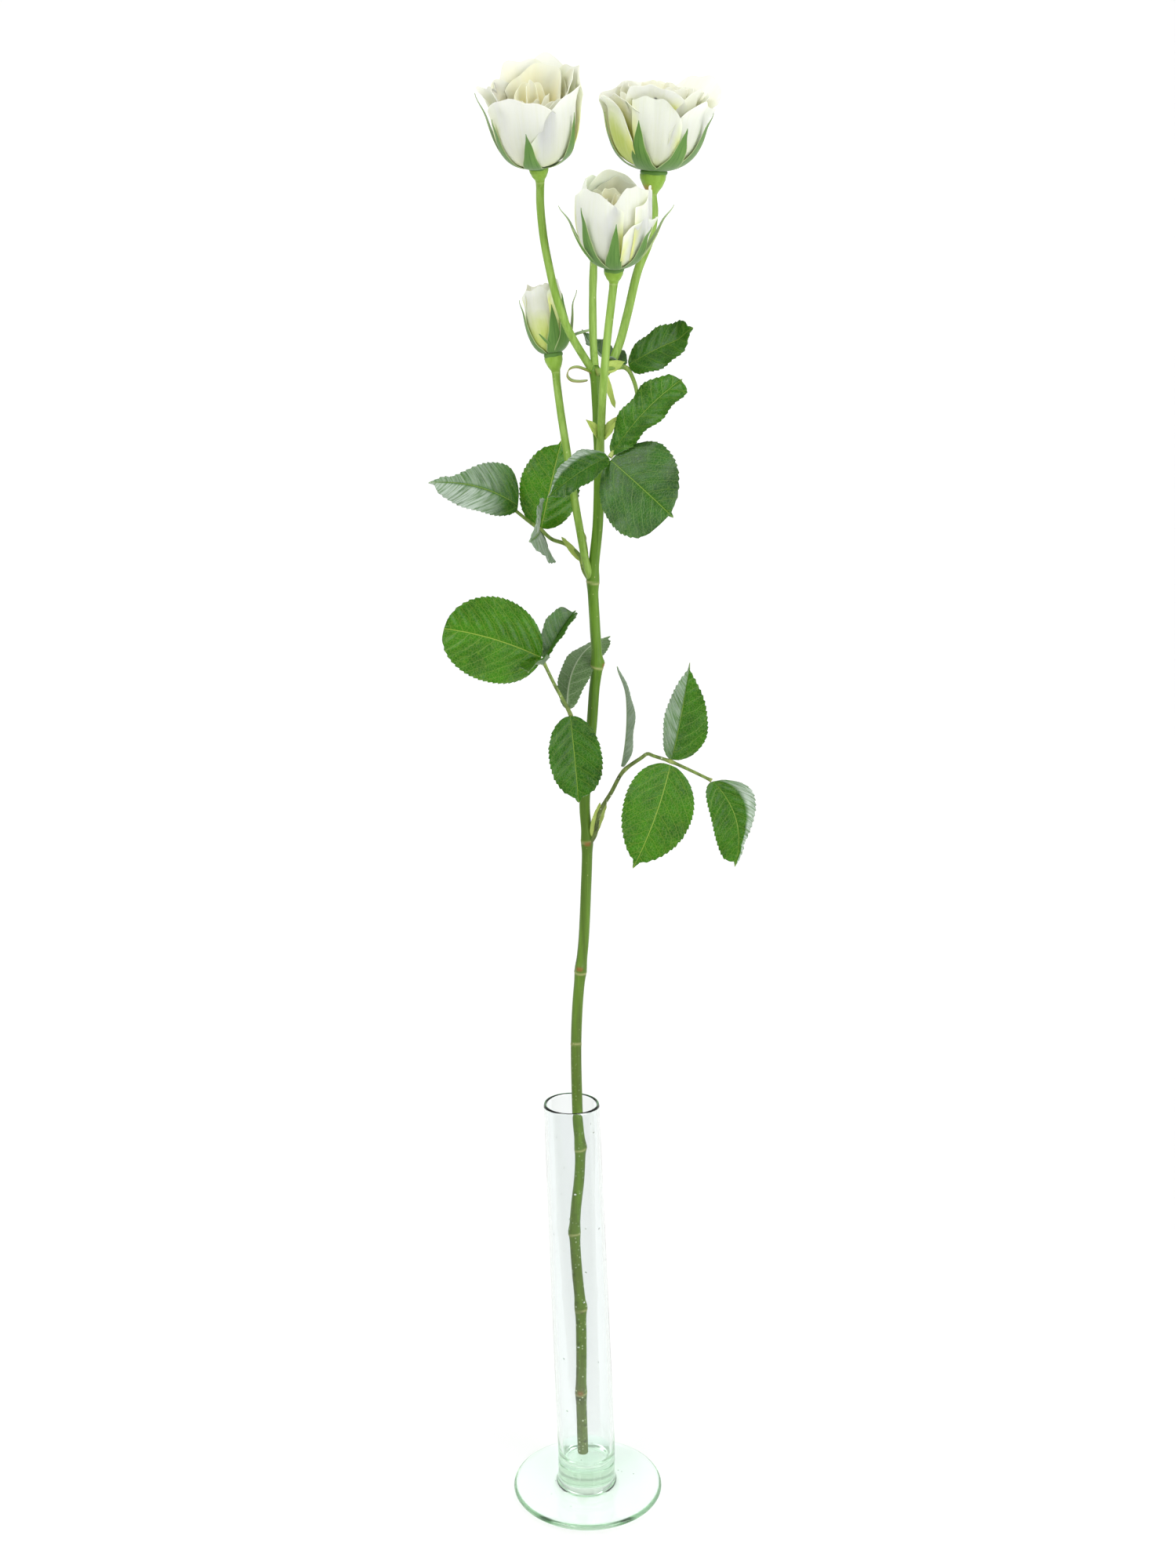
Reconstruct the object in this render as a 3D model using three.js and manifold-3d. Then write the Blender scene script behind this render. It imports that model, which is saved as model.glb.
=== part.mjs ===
// A cut spray-rose stem standing in a slender hand-made glass vase.
// Millimetres, +Z up. The origin is the middle of the vase's foot, on the surface it stands on,
// and the side that is looked at faces -Y. The stem only rests in the vase.
import * as THREE from "three";
import { mergeVertices } from "three/addons/utils/BufferGeometryUtils.js";
import Module from "manifold-3d";

const wasm = await Module();
wasm.setup();

// Clearance between two pieces that touch
const seatGap = 0.3;

// Vase: a straight tube on a round foot, leaning a little because it was made by hand
const vase = {
  height: 200,
  rimRadius: 13,
  tubeRadius: 13.8,
  wall: 1.5,
  hollowFloor: 15,
  hollowCorner: 5,
  footRadius: 36,
  footFlatRadius: 31,
  footThickness: 3.4,
  collarHeight: 7,
  lean: 7,
  leanStart: 20,
  outOfRound: 1.2,
  outOfRoundSide: -60,
  segments: 28,
};

// Main stem: its middle line from the cut end to the top fork, and how thick it is.
// It is two solids, which meet at the knot where it stops bending back and starts to bend forward.
const stem = {
  footRadius: 2.65,
  topRadius: 2.25,
  sides: 8,
  partHeight: 262,
  line: [
    [-1.8, 4.2, 15.6],
    [-2.3, 4.6, 32],
    [-2.7, 4.8, 48],
    [-2.5, 5.2, 67],
    [-2.9, 5.7, 93],
    [-4.6, 6.0, 112],
    [-5.7, 6.5, 132],
    [-5.1, 6.8, 144],
    [-3.4, 7.2, 160],
    [-3.0, 7.5, 175],
    [-4.1, 7.8, 188],
    [-4.5, 8.1, 200],
    [-4.8, 8.5, 225],
    [-4.0, 9.0, 246],
    [-2.6, 9.5, 262],
    [-1.3, 9.5, 276],
    [-0.3, 9.2, 300],
    [0.2, 9.0, 324],
    [-0.9, 8.5, 341],
    [0.6, 8.2, 360],
    [2.5, 8.0, 379],
    [3.5, 7.5, 393],
    [4.7, 7.0, 405],
    [3.8, 6.0, 423],
    [2.9, 5.0, 443],
    [5.0, 4.2, 468],
    [5.5, 3.4, 494],
    [5.2, 3.4, 508],
    [4.4, 3.8, 522],
    [3.7, 4.2, 534],
  ],
  // Heights where a leaf or a bud sat, and how far the stem swells there
  knots: [
    [48, 0.35],
    [93, 0.4],
    [132, 0.3],
    [175, 0.35],
    [262, 0.4],
    [324, 0.45],
    [405, 0.45],
    [443, 0.6],
    [508, 0.3],
    [534, 0.7],
  ],
};

// Flowers: top of the hip, how far the bloom leans right and towards the viewer in degrees,
// the cup that its outer petals follow (radius and height pairs), and its hip and sepals.
// Directions round a flower run from +X through the back at 90; the viewer's side is 270.
const flowers = {
  left_bloom: {
    at: [-20, -2, 614],
    leanRight: -5,
    leanFront: 25,
    cup: [[2.4, 2.3], [12.5, 2.8], [19, 16], [21, 38.5]],
    petals: 5,
    firstPetal: 252,
    petalHalfAngle: 50,
    hip: { radius: 4.1, height: 5.5 },
    sepals: [[262, 0.55, 0], [340, 0.8, 1.5], [60, 0.75, 2], [165, 0.85, 4], [212, 0.75, 1.5]],
    sepalWidth: 8,
    stalkRadius: 1.7,
    stalk: [[3.7, 4.2, 531], [0.2, 3.8, 536], [-7.6, -0.5, 549], [-12.5, -1.5, 562], [-15.7, 0.5, 575],
      [-18, 2.4, 587], [-19.3, 2.8, 600]],
  },
  right_bloom: {
    at: [28.2, 10, 613],
    leanRight: 3,
    leanFront: 10,
    cup: [[2.4, 2.3], [18.5, 2.8], [22, 16], [21.5, 37]],
    petals: 5,
    firstPetal: 262,
    petalHalfAngle: 50,
    hip: { radius: 5.6, height: 7.5 },
    sepals: [[234, 0.72, 1], [305, 0.75, 2], [340, 0.85, 3], [80, 0.8, 2], [180, 0.8, 1]],
    sepalWidth: 9,
    stalkRadius: 1.85,
    stalk: [[3.7, 4.2, 529], [8.6, 6.6, 532], [13.6, 8.6, 542], [17.6, 10.6, 556], [22, 12, 574],
      [27, 12.2, 587], [28.6, 12.2, 598]],
  },
  middle_bloom: {
    at: [11.4, -10, 572.5],
    leanRight: 1,
    leanFront: 22,
    cup: [[2.2, 2.3], [14, 2.8], [18, 20], [13, 40]],
    petals: 5,
    firstPetal: 300,
    petalHalfAngle: 50,
    hip: { radius: 4.1, height: 5 },
    sepals: [[270, 0.5, 0.5], [216, 0.72, 2.5], [158, 0.8, 7], [325, 0.72, 3], [20, 0.8, 7]],
    sepalWidth: 7,
    stalkRadius: 1.7,
    stalk: [[5.4, 3.4, 493], [6.2, -1, 506], [6.8, -5, 520], [7.7, -7, 533], [9.2, -7.6, 549], [10.6, -7.4, 561]],
  },
  bud: {
    at: [-14.3, 14, 538.5],
    leanRight: -9,
    leanFront: 2,
    cup: [[2, 2.3], [8.5, 2.6], [10.5, 15], [5, 30]],
    petals: 3,
    firstPetal: 240,
    petalHalfAngle: 78,
    hip: { radius: 4, height: 6.5 },
    sepals: [[265, 0.75, 0.6], [190, 0.92, 2.2], [318, 0.9, 1.2], [12, 0.92, 4], [100, 0.85, 1.5]],
    sepalWidth: 6.6,
    stalkRadius: 1.7,
    stalk: [[2.9, 5, 441.5], [0, 3.2, 450], [-3.4, 3, 468], [-5.8, 4, 482], [-8.2, 6.2, 497], [-11, 10, 514],
      [-12.9, 13, 528]],
  },
};
const petal = { thickness: 0.5, lap: 1.0, rimDrop: 0.14, along: 6, across: 4 };
const sepal = { thickness: 0.6, lift: 1.9, along: 6, across: 2 };
const calyxRing = { radius: 4.4, bottom: seatGap, top: 1.5 };
const heart = { neckRadius: 1.3, neckHeight: 2.4, from: 0.1, to: 0.88, steps: 7, segments: 16 };

// The stub left where the first flower was pinched out, hidden behind the middle bloom
const stub = { radius: 1.65, line: [[3.7, 4.2, 534], [3, 7, 543], [2.7, 9, 562], [3, 10, 574], [3.4, 10.6, 586]] };

// Compound leaves: the leaf stalk, then each leaflet by its base, its tip, its width,
// the way its upper side faces, and how it is folded, arched and bowed sideways
const leaves = {
  leaf_upper_right: {
    stalk: [[4.2, 2.6, 531.5], [8.5, 2.2, 532.8], [12.5, 3, 533.4], [16.8, 4.2, 533.5], [19.8, 0.5, 529],
      [21.5, -6, 520], [17.2, -12, 507], [9.9, -16, 496.5]],
    radii: [1.2, 0.75],
    leaflets: [
      { base: [18, 3.6, 534.5], tip: [44.8, -4, 545.5], width: 19, faces: [-0.1, -0.85, 0.5], fold: 8, arch: 2 },
      { base: [16.6, 6.4, 534.6], tip: [-3, 17.5, 550], width: 15, faces: [0, -1, 0.3], fold: 10, arch: -3.5 },
      { base: [10.9, -15.6, 497.6], tip: [38.7, -18, 527.5], width: 19, faces: [-0.5, -0.75, 0.4], fold: 10, arch: 2,
        bow: -1.5, roundTip: true },
      { base: [9.3, -16, 496.5], tip: [-16.3, -24, 480], width: 16, faces: [0.1, -0.8, 0.6], fold: 18, arch: 3 },
      { base: [10.2, -17.2, 495.3], tip: [36.4, -28, 472], width: 37, faces: [-0.05, -0.95, 0.2], fold: 6, arch: 2,
        bow: 2.5 },
    ],
    stipules: [
      { base: [6.5, 1.9, 532.3], tip: [16.5, 2.4, 536], width: 5, faces: [0, -1, 0], fold: 0, arch: 0 },
      { base: [7, 1.8, 532.6], tip: [12.3, 0.5, 516.5], width: 3, faces: [0, -1, 0], fold: 0, arch: 0 },
    ],
  },
  leaf_upper_left: {
    stalk: [[2.9, 5, 441], [-0.9, 7.2, 446.5], [-3, 8.5, 453], [-8.9, 9.5, 458], [-15.2, 10, 460.3],
      [-20, 10, 464.3], [-25.1, 9, 468], [-32.2, 6.2, 474]],
    radii: [1.2, 0.7],
    leaflets: [
      { base: [-19.8, 10.9, 464.9], tip: [-10.9, 17, 503], width: 26, faces: [-0.2, -1, 0.1], fold: 5, arch: 1 },
      { base: [-21.4, 8.3, 465.5], tip: [-24, -27, 462], width: 29, faces: [0.98, -0.1, 0.15], fold: 14, arch: 2 },
      { base: [-32.6, 6.1, 474.3], tip: [-67.9, -4, 485.3], width: 23, faces: [0, -0.72, 0.7], fold: 8, arch: 5,
        bow: 2.5 },
    ],
    stipules: [
      { base: [-0.6, 7, 446], tip: [-1.2, 8, 464], width: 3.4, faces: [0, -1, 0], fold: 0, arch: 0 },
      { base: [-2.2, 8, 451], tip: [-11, 8.6, 461.5], width: 3, faces: [0, -1, 0.4], fold: 0, arch: 0 },
    ],
  },
  leaf_middle_left: {
    stalk: [[0.6, 8.2, 360], [-1.2, 3.5, 363], [-3.5, -2, 372], [-7.2, -8, 385.7], [-13.6, -11, 398.4],
      [-18.8, -12.9, 409.6]],
    radii: [1.15, 0.7],
    leaflets: [
      { base: [-8.2, -6.8, 387.6], tip: [11, 28, 415], width: 17, faces: [0.45, 0.8, -0.6], fold: 8, arch: -6, bow: 4 },
      { base: [-7.1, -9.2, 384.8], tip: [-3.4, -17, 347.5], width: 23, faces: [0.1, -1, 0.25], fold: 7, arch: 2 },
      { base: [-19.5, -12.7, 411.1], tip: [-61.1, -17, 424.3], width: 36, faces: [0.05, -1, 0.1], fold: 5, arch: 2,
        bow: 1.2, roundTip: true },
      { base: [-18.2, -12.6, 410.4], tip: [-3.8, -3, 430], width: 18, faces: [-0.5, -0.8, 0.3], fold: 32, arch: 1 },
      { base: [-18.7, -14.3, 408.5], tip: [-24.5, -38, 404.5], width: 18, faces: [-0.35, 0.1, 1], fold: 14, arch: 3 },
    ],
    stipules: [
      { base: [-0.6, 4.6, 361], tip: [-5, -2, 378], width: 3.4, faces: [-0.8, -0.6, 0], fold: 0, arch: 0 },
    ],
  },
  leaf_lower_right: {
    stalk: [[0.2, 9, 322], [3.6, 7, 326.5], [5.7, 5, 337.5], [11.3, 3, 348], [16.5, 2, 357.6], [27.3, 1, 365.6],
      [37.4, 0, 362.6], [47, -2, 358.6], [55.8, -3.8, 354.6]],
    radii: [1.15, 0.7],
    leaflets: [
      { base: [16, 2, 359.6], tip: [16.3, 4, 404.4], width: 20, faces: [0.96, 0.26, 0], fold: 12, arch: 3 },
      { base: [37.9, 0, 363.4], tip: [46.1, 8, 404.8], width: 24, faces: [0.5, -0.87, 0], fold: 28, arch: 1 },
      { base: [37.2, -0.6, 361.1], tip: [19.9, -12, 316.3], width: 30, faces: [0, -1, 0.2], fold: 6, arch: 2, bow: -1.5 },
      { base: [56.3, -3.95, 354.3], tip: [65.8, -14, 317.6], width: 27, faces: [-0.45, -0.89, 0], fold: 18, arch: 1,
        bow: -6 },
    ],
    stipules: [
      { base: [2.9, 7, 326], tip: [6.2, 3.6, 343], width: 4.6, faces: [0.2, -1, 0], fold: 0, arch: 0 },
      { base: [4.2, 7.2, 328], tip: [9, 5, 342.5], width: 3, faces: [0.6, -0.8, 0], fold: 0, arch: 0 },
    ],
  },
};
const leaflet = { thickness: 0.6, along: 8, across: 4 };
const stipule = { thickness: 0.7, along: 4, across: 2 };

// Small leafy scales at the two forks
const bracts = {
  bract_fork_left: { base: [5.6, 1.2, 504], tip: [-0.2, -4, 512], width: 3.6, faces: [0.3, -0.9, 0.3], fold: 20, arch: 1 },
  bract_fork_right: { base: [7, 0.6, 503.5], tip: [15, -4, 514], width: 3.8, faces: [-0.3, -0.9, 0.3], fold: 20, arch: 1 },
  bract_curled: { base: [2.6, 4.4, 531.5], tip: [-8, 1, 534.5], width: 5.5, faces: [0, -0.6, 0.8], fold: 16, arch: -1 },
};

const material = (color, roughness, more = {}) =>
  new THREE.MeshStandardMaterial({ color, roughness, metalness: 0, ...more });
const finishes = {
  glass: material("#cfe6d6", 0.05, { transparent: true, opacity: 0.4 }),
  bark: material("#6f9440", 0.5),
  youngStem: material("#8fb552", 0.5),
  leaf: material("#3d7a2c", 0.4),
  sepal: material("#7da553", 0.55),
  petal: material("#f3f2e2", 0.6),
};

const vector = (p) => new THREE.Vector3(...p);

// A closed geometry as a solid for joining and cutting: only positions, shared corners merged.
function solidFrom(geometry) {
  const bare = new THREE.BufferGeometry().setAttribute("position", geometry.getAttribute("position"));
  if (geometry.index) bare.setIndex(geometry.index);
  const merged = mergeVertices(bare, 1e-4);
  const corners = merged.index.array;
  const kept = [];
  for (let i = 0; i < corners.length; i += 3) {
    const [a, b, c] = corners.subarray(i, i + 3);
    if (a !== b && b !== c && c !== a) kept.push(a, b, c);
  }
  return new wasm.Manifold(
    new wasm.Mesh({
      numProp: 3,
      vertProperties: new Float32Array(merged.getAttribute("position").array),
      triVerts: new Uint32Array(kept),
    }),
  );
}

function geometryFrom(solid) {
  const mesh = solid.getMesh();
  const positions = new Float32Array(mesh.numVert * 3);
  for (let i = 0; i < mesh.numVert; i++) {
    positions.set(mesh.vertProperties.subarray(i * mesh.numProp, i * mesh.numProp + 3), i * 3);
  }
  const geometry = new THREE.BufferGeometry();
  geometry.setAttribute("position", new THREE.BufferAttribute(positions, 3));
  geometry.setIndex(new THREE.BufferAttribute(new Uint32Array(mesh.triVerts), 1));
  geometry.computeVertexNormals();
  return geometry;
}

function named(name, geometry, finish) {
  const mesh = new THREE.Mesh(geometry, finish);
  mesh.name = name;
  return mesh;
}

// A profile of radius and height pairs turned round the upright axis.
function turned(profile, segments) {
  const points = profile.map(([radius, height]) => new THREE.Vector2(radius, height));
  return new THREE.LatheGeometry(points, segments).rotateX(Math.PI / 2);
}

// Rings carried along a line of points without twisting, closed at both ends.
// radiusAt(share, point) gives the radius of a ring, its share running from 0 to 1.
function carriedRings(points, sides, ringsPerSpan, radiusAt) {
  const curve = new THREE.CatmullRomCurve3(points.map(vector));
  const rings = (points.length - 1) * ringsPerSpan;
  const positions = [];
  const across = new THREE.Vector3(1, 0, 0);
  for (let i = 0; i <= rings; i++) {
    const centre = curve.getPoint(i / rings);
    const tangent = curve.getTangent(i / rings);
    across.addScaledVector(tangent, -across.dot(tangent)).normalize();
    const other = new THREE.Vector3().crossVectors(tangent, across);
    const radius = radiusAt(i / rings, centre);
    for (let k = 0; k < sides; k++) {
      const turn = (2 * Math.PI * k) / sides;
      const corner = centre.clone();
      corner.addScaledVector(across, radius * Math.cos(turn));
      corner.addScaledVector(other, radius * Math.sin(turn));
      positions.push(...corner.toArray());
    }
  }
  positions.push(...curve.getPoint(0).toArray(), ...curve.getPoint(1).toArray());
  const faces = [];
  for (let i = 0; i < rings; i++) {
    for (let k = 0; k < sides; k++) {
      const a = i * sides + k;
      const b = i * sides + ((k + 1) % sides);
      faces.push(a, b, a + sides, b, b + sides, a + sides);
    }
  }
  const foot = (rings + 1) * sides;
  const last = rings * sides;
  for (let k = 0; k < sides; k++) {
    const next = (k + 1) % sides;
    faces.push(foot, next, k);
    faces.push(foot + 1, last + k, last + next);
  }
  return closedGeometry(positions, faces);
}

function closedGeometry(positions, faces) {
  const geometry = new THREE.BufferGeometry();
  geometry.setAttribute("position", new THREE.Float32BufferAttribute(positions, 3));
  geometry.setIndex(faces);
  geometry.computeVertexNormals();
  return geometry;
}

// A thin blade: the middle surface moved half a thickness each way, the two sides meeting at the margin.
// surface(u, v) runs from base to tip with u in 0..1 and from edge to edge with v in -1..1.
function blade(surface, along, across, thickness) {
  const step = 1e-3;
  const positions = [];
  const index = [[], []];
  for (let i = 0; i <= along; i++) {
    for (let j = 0; j <= across; j++) {
      const u = i / along;
      const v = (2 * j) / across - 1;
      const middle = surface(u, v);
      const edge = i === 0 || i === along || j === 0 || j === across;
      if (edge) {
        positions.push(...middle.toArray());
        const at = positions.length / 3 - 1;
        index[0].push(at);
        index[1].push(at);
        continue;
      }
      const du = surface(u + step, v).sub(surface(u - step, v));
      const dv = surface(u, v + step).sub(surface(u, v - step));
      const upper = dv.cross(du).normalize();
      for (const [side, way] of [[0, 0.5], [1, -0.5]]) {
        positions.push(...middle.clone().addScaledVector(upper, way * thickness).toArray());
        index[side].push(positions.length / 3 - 1);
      }
    }
  }
  const faces = [];
  const row = across + 1;
  for (let i = 0; i < along; i++) {
    for (let j = 0; j < across; j++) {
      const corner = i * row + j;
      const four = [corner, corner + 1, corner + row, corner + row + 1];
      const [a, b, c, d] = four.map((n) => index[0][n]);
      faces.push(a, b, c, b, d, c);
      const [e, f, g, h] = four.map((n) => index[1][n]);
      faces.push(e, g, f, f, g, h);
    }
  }
  return closedGeometry(positions, faces);
}

// A leaflet's middle surface. Its half width follows u^a (1-u)^b, so the base is round and the tip pointed.
function leafletSurface({ base, tip, width, faces, fold, arch, bow = 0, roundTip = false }) {
  const from = vector(base);
  const alongLine = vector(tip).sub(from);
  const length = alongLine.length();
  const along = alongLine.clone().normalize();
  const upper = vector(faces);
  upper.addScaledVector(along, -upper.dot(along)).normalize();
  const side = new THREE.Vector3().crossVectors(along, upper);
  const basePower = 0.5;
  const tipPower = roundTip ? 0.5 : 0.72;
  const widest = basePower / (basePower + tipPower);
  const peak = widest ** basePower * (1 - widest) ** tipPower;
  const rise = THREE.MathUtils.degToRad(fold);
  return (u, v) => {
    const inside = THREE.MathUtils.clamp(u, 0, 1);
    const half = (width / 2) * ((inside ** basePower * (1 - inside) ** tipPower) / peak);
    const hump = 4 * u * (1 - u);
    return from
      .clone()
      .addScaledVector(along, length * u)
      .addScaledVector(side, v * half * Math.cos(rise) + bow * hump)
      .addScaledVector(upper, Math.abs(v) * half * Math.sin(rise) + arch * hump);
  };
}

const bladeSolid = (spec, size) => solidFrom(blade(leafletSurface(spec), size.along, size.across, size.thickness));

// A point on a cup's outline, a cubic curve steered by radius and height pairs, and the way out of the cup there.
function cupPoint(cup, t) {
  const s = 1 - t;
  const weights = [s * s * s, 3 * s * s * t, 3 * s * t * t, t * t * t];
  const slopes = [-s * s, s * s - 2 * s * t, 2 * s * t - t * t, t * t];
  const sum = (part, factors) => cup.reduce((total, pair, i) => total + pair[part] * factors[i], 0);
  const alongR = sum(0, slopes);
  const alongZ = sum(1, slopes);
  const length = Math.hypot(alongR, alongZ);
  return [sum(0, weights), sum(1, weights), alongZ / length, -alongR / length];
}

// A petal follows the cup round the flower. One edge lies outside its neighbour and one edge inside.
function petalSurface(cup, azimuth, halfAngle) {
  const middle = THREE.MathUtils.degToRad(azimuth);
  const spread = THREE.MathUtils.degToRad(halfAngle);
  return (u, v) => {
    const rise = u * (1 - petal.rimDrop * Math.abs(v) ** 3);
    const [radius, height] = cupPoint(cup, rise);
    const widening = 0.35 + 0.65 * Math.sin((Math.PI / 2) * Math.min(1, u / 0.6));
    const angle = middle + spread * widening * v;
    const reach = radius + petal.lap * v * Math.min(1, 0.3 + u * 3);
    return new THREE.Vector3(reach * Math.cos(angle), reach * Math.sin(angle), height);
  };
}

// A sepal lies outside the petals, narrows to its tip and lifts away from them there.
function sepalSurface(cup, [azimuth, reach, liftOff], width) {
  const middle = THREE.MathUtils.degToRad(azimuth);
  const widestAngle = THREE.MathUtils.degToRad(38);
  return (u, v) => {
    const [radius, height, outR, outZ] = cupPoint(cup, u * reach);
    const r = radius + sepal.lift * outR + liftOff * u ** 3;
    const z = height + sepal.lift * outZ;
    const half = (width / 2) * Math.max(0, 1 - u) ** 0.9 * (1 + 0.9 * u);
    const angle = middle + Math.min(half / r, widestAngle) * v;
    return new THREE.Vector3(r * Math.cos(angle), r * Math.sin(angle), z);
  };
}

// The vase: foot, solid bottom and tube in one turned wall. Above the foot the tube leans to -X,
// and the foot is a little out of round.
function makeVase() {
  const { wall, hollowCorner } = vase;
  const innerFoot = vase.tubeRadius - wall - 0.3;
  const innerRim = vase.rimRadius - wall;
  const outside = [
    [0, 0],
    [vase.footFlatRadius, 0],
    [vase.footRadius - 0.9, 0.6],
    [vase.footRadius, 1.8],
    [vase.footRadius - 0.7, 3],
    [vase.footRadius - 4, vase.footThickness],
    [22, vase.footThickness + 0.5],
    [vase.tubeRadius + 2, vase.footThickness + 1.4],
    [vase.tubeRadius + 0.4, vase.collarHeight],
    [vase.tubeRadius, 12],
    [vase.tubeRadius + 0.1, vase.leanStart],
    [vase.tubeRadius, 45],
    [vase.tubeRadius - 0.2, 90],
    [vase.tubeRadius - 0.5, 140],
    [vase.rimRadius, vase.height - 8],
    [vase.rimRadius, vase.height - 1],
  ];
  const rim = [
    [vase.rimRadius - wall / 2, vase.height],
    [innerRim, vase.height - 1],
  ];
  const inside = [
    [innerRim, vase.height - 8],
    [innerFoot - 0.4, 140],
    [innerFoot - 0.1, 90],
    [innerFoot, 45],
    [innerFoot, vase.hollowFloor + hollowCorner + 2],
    [innerFoot - hollowCorner * 0.3, vase.hollowFloor + hollowCorner * 0.35],
    [innerFoot - hollowCorner, vase.hollowFloor + 0.2],
    [0, vase.hollowFloor],
  ];
  const geometry = turned([...outside, ...rim, ...inside], vase.segments);
  const corners = geometry.getAttribute("position");
  const wideSide = THREE.MathUtils.degToRad(vase.outOfRoundSide);
  for (let i = 0; i < corners.count; i++) {
    const z = corners.getZ(i);
    const share = Math.max(0, z - vase.leanStart) / (vase.height - vase.leanStart);
    const radius = Math.hypot(corners.getX(i), corners.getY(i));
    if (radius > vase.tubeRadius + 1) {
      const azimuth = Math.atan2(corners.getY(i), corners.getX(i));
      const grow = (vase.outOfRound * Math.cos(azimuth - wideSide) * (radius - vase.tubeRadius))
        / (vase.footRadius - vase.tubeRadius);
      corners.setX(i, corners.getX(i) + grow * Math.cos(azimuth));
      corners.setY(i, corners.getY(i) + grow * Math.sin(azimuth));
    }
    corners.setX(i, corners.getX(i) - vase.lean * share);
  }
  return geometryFrom(solidFrom(geometry));
}

// The main stem, made wider by a clearance when it is used to cut what sits on it.
function stemRings(clearance) {
  return carriedRings(stem.line, stem.sides, 2, (share, point) => {
    const swelling = stem.knots.reduce((most, [height, swell]) => {
      return Math.max(most, swell * Math.exp(-(((point.z - height) / 4) ** 2)));
    }, 0);
    return stem.footRadius + (stem.topRadius - stem.footRadius) * share + swelling + clearance;
  });
}

// What is already in place, made wider by the clearance: every later piece is cut clear of it.
const inPlace = [solidFrom(stemRings(seatGap))];
const cutClear = (solid) => inPlace.reduce((rest, taken) => rest.subtract(taken), solid);

function stalkSolid(points, radius, sides, tipRadius = radius) {
  return solidFrom(carriedRings(points, sides, 2, (share) => radius + (tipRadius - radius) * share));
}

// A flower's own frame: origin at the top of its hip, +Z along the bloom.
function flowerFrame({ at, leanRight, leanFront }) {
  const right = THREE.MathUtils.degToRad(leanRight);
  const front = THREE.MathUtils.degToRad(leanFront);
  const up = new THREE.Vector3(Math.sin(right), -Math.sin(front), Math.cos(front) * Math.cos(right)).normalize();
  const turn = new THREE.Quaternion().setFromUnitVectors(new THREE.Vector3(0, 0, 1), up);
  return { at: vector(at), turn, up };
}

// A flower's stalk swells into the hip under the bloom.
function makeFlowerStalk(spec) {
  const { at, turn, up } = flowerFrame(spec);
  const { radius, height } = spec.hip;
  const hipFoot = at.clone().addScaledVector(up, -height);
  const tube = stalkSolid([...spec.stalk, hipFoot.toArray()], spec.stalkRadius, 8);
  const hip = turned(
    [
      [0, -height - 0.6],
      [spec.stalkRadius * 0.9, -height - 0.6],
      [spec.stalkRadius * 1.15, -height],
      [radius * 0.72, -height * 0.66],
      [radius * 0.96, -height * 0.3],
      [radius, -height * 0.08],
      [radius * 0.96, 0],
      [0, 0],
    ],
    12,
  );
  hip.applyQuaternion(turn).translate(...at.toArray());
  const shape = cutClear(tube.add(solidFrom(hip)));
  inPlace.push(stalkSolid(spec.stalk, spec.stalkRadius + seatGap, 8));
  return geometryFrom(shape);
}

// Five sepals grown together on a ring under the petals.
function makeCalyx(spec) {
  const ring = turned(
    [
      [0, calyxRing.bottom],
      [calyxRing.radius * 0.9, calyxRing.bottom],
      [calyxRing.radius, (calyxRing.bottom + calyxRing.top) / 2],
      [calyxRing.radius * 0.9, calyxRing.top],
      [0, calyxRing.top],
    ],
    12,
  );
  let calyx = solidFrom(ring);
  for (const each of spec.sepals) {
    const surface = sepalSurface(spec.cup, each, spec.sepalWidth);
    calyx = calyx.add(solidFrom(blade(surface, sepal.along, sepal.across, sepal.thickness)));
  }
  return geometryFrom(calyx);
}

// The inner petals packed together, as one body inside the outer petals, down to a neck between their feet.
function makeHeart(spec) {
  const inset = petal.lap + petal.thickness / 2 + seatGap;
  const foot = calyxRing.top + seatGap;
  const profile = [[0, foot], [heart.neckRadius, foot], [heart.neckRadius, foot + heart.neckHeight]];
  for (let i = 0; i <= heart.steps; i++) {
    const share = heart.from + ((heart.to - heart.from) * i) / heart.steps;
    const [radius, height, outR, outZ] = cupPoint(spec.cup, share);
    profile.push([radius - inset * outR, height - inset * outZ]);
  }
  const [shoulderRadius, shoulderHeight] = profile[profile.length - 1];
  profile.push([shoulderRadius * 0.6, shoulderHeight + 1.5]);
  profile.push([0, shoulderHeight + 0.5]);
  return geometryFrom(solidFrom(turned(profile, heart.segments)));
}

function makeFlower(name, spec) {
  const group = new THREE.Group();
  const { at, turn } = flowerFrame(spec);
  group.position.copy(at);
  group.quaternion.copy(turn);
  group.add(named("calyx_" + name, makeCalyx(spec), finishes.sepal));
  group.add(named("heart_" + name, makeHeart(spec), finishes.petal));
  for (let i = 0; i < spec.petals; i++) {
    const azimuth = spec.firstPetal + (360 * i) / spec.petals;
    const surface = petalSurface(spec.cup, azimuth, spec.petalHalfAngle);
    const shape = blade(surface, petal.along, petal.across, petal.thickness);
    group.add(named("petal_" + name + "_" + (i + 1), geometryFrom(solidFrom(shape)), finishes.petal));
  }
  return group;
}

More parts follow.
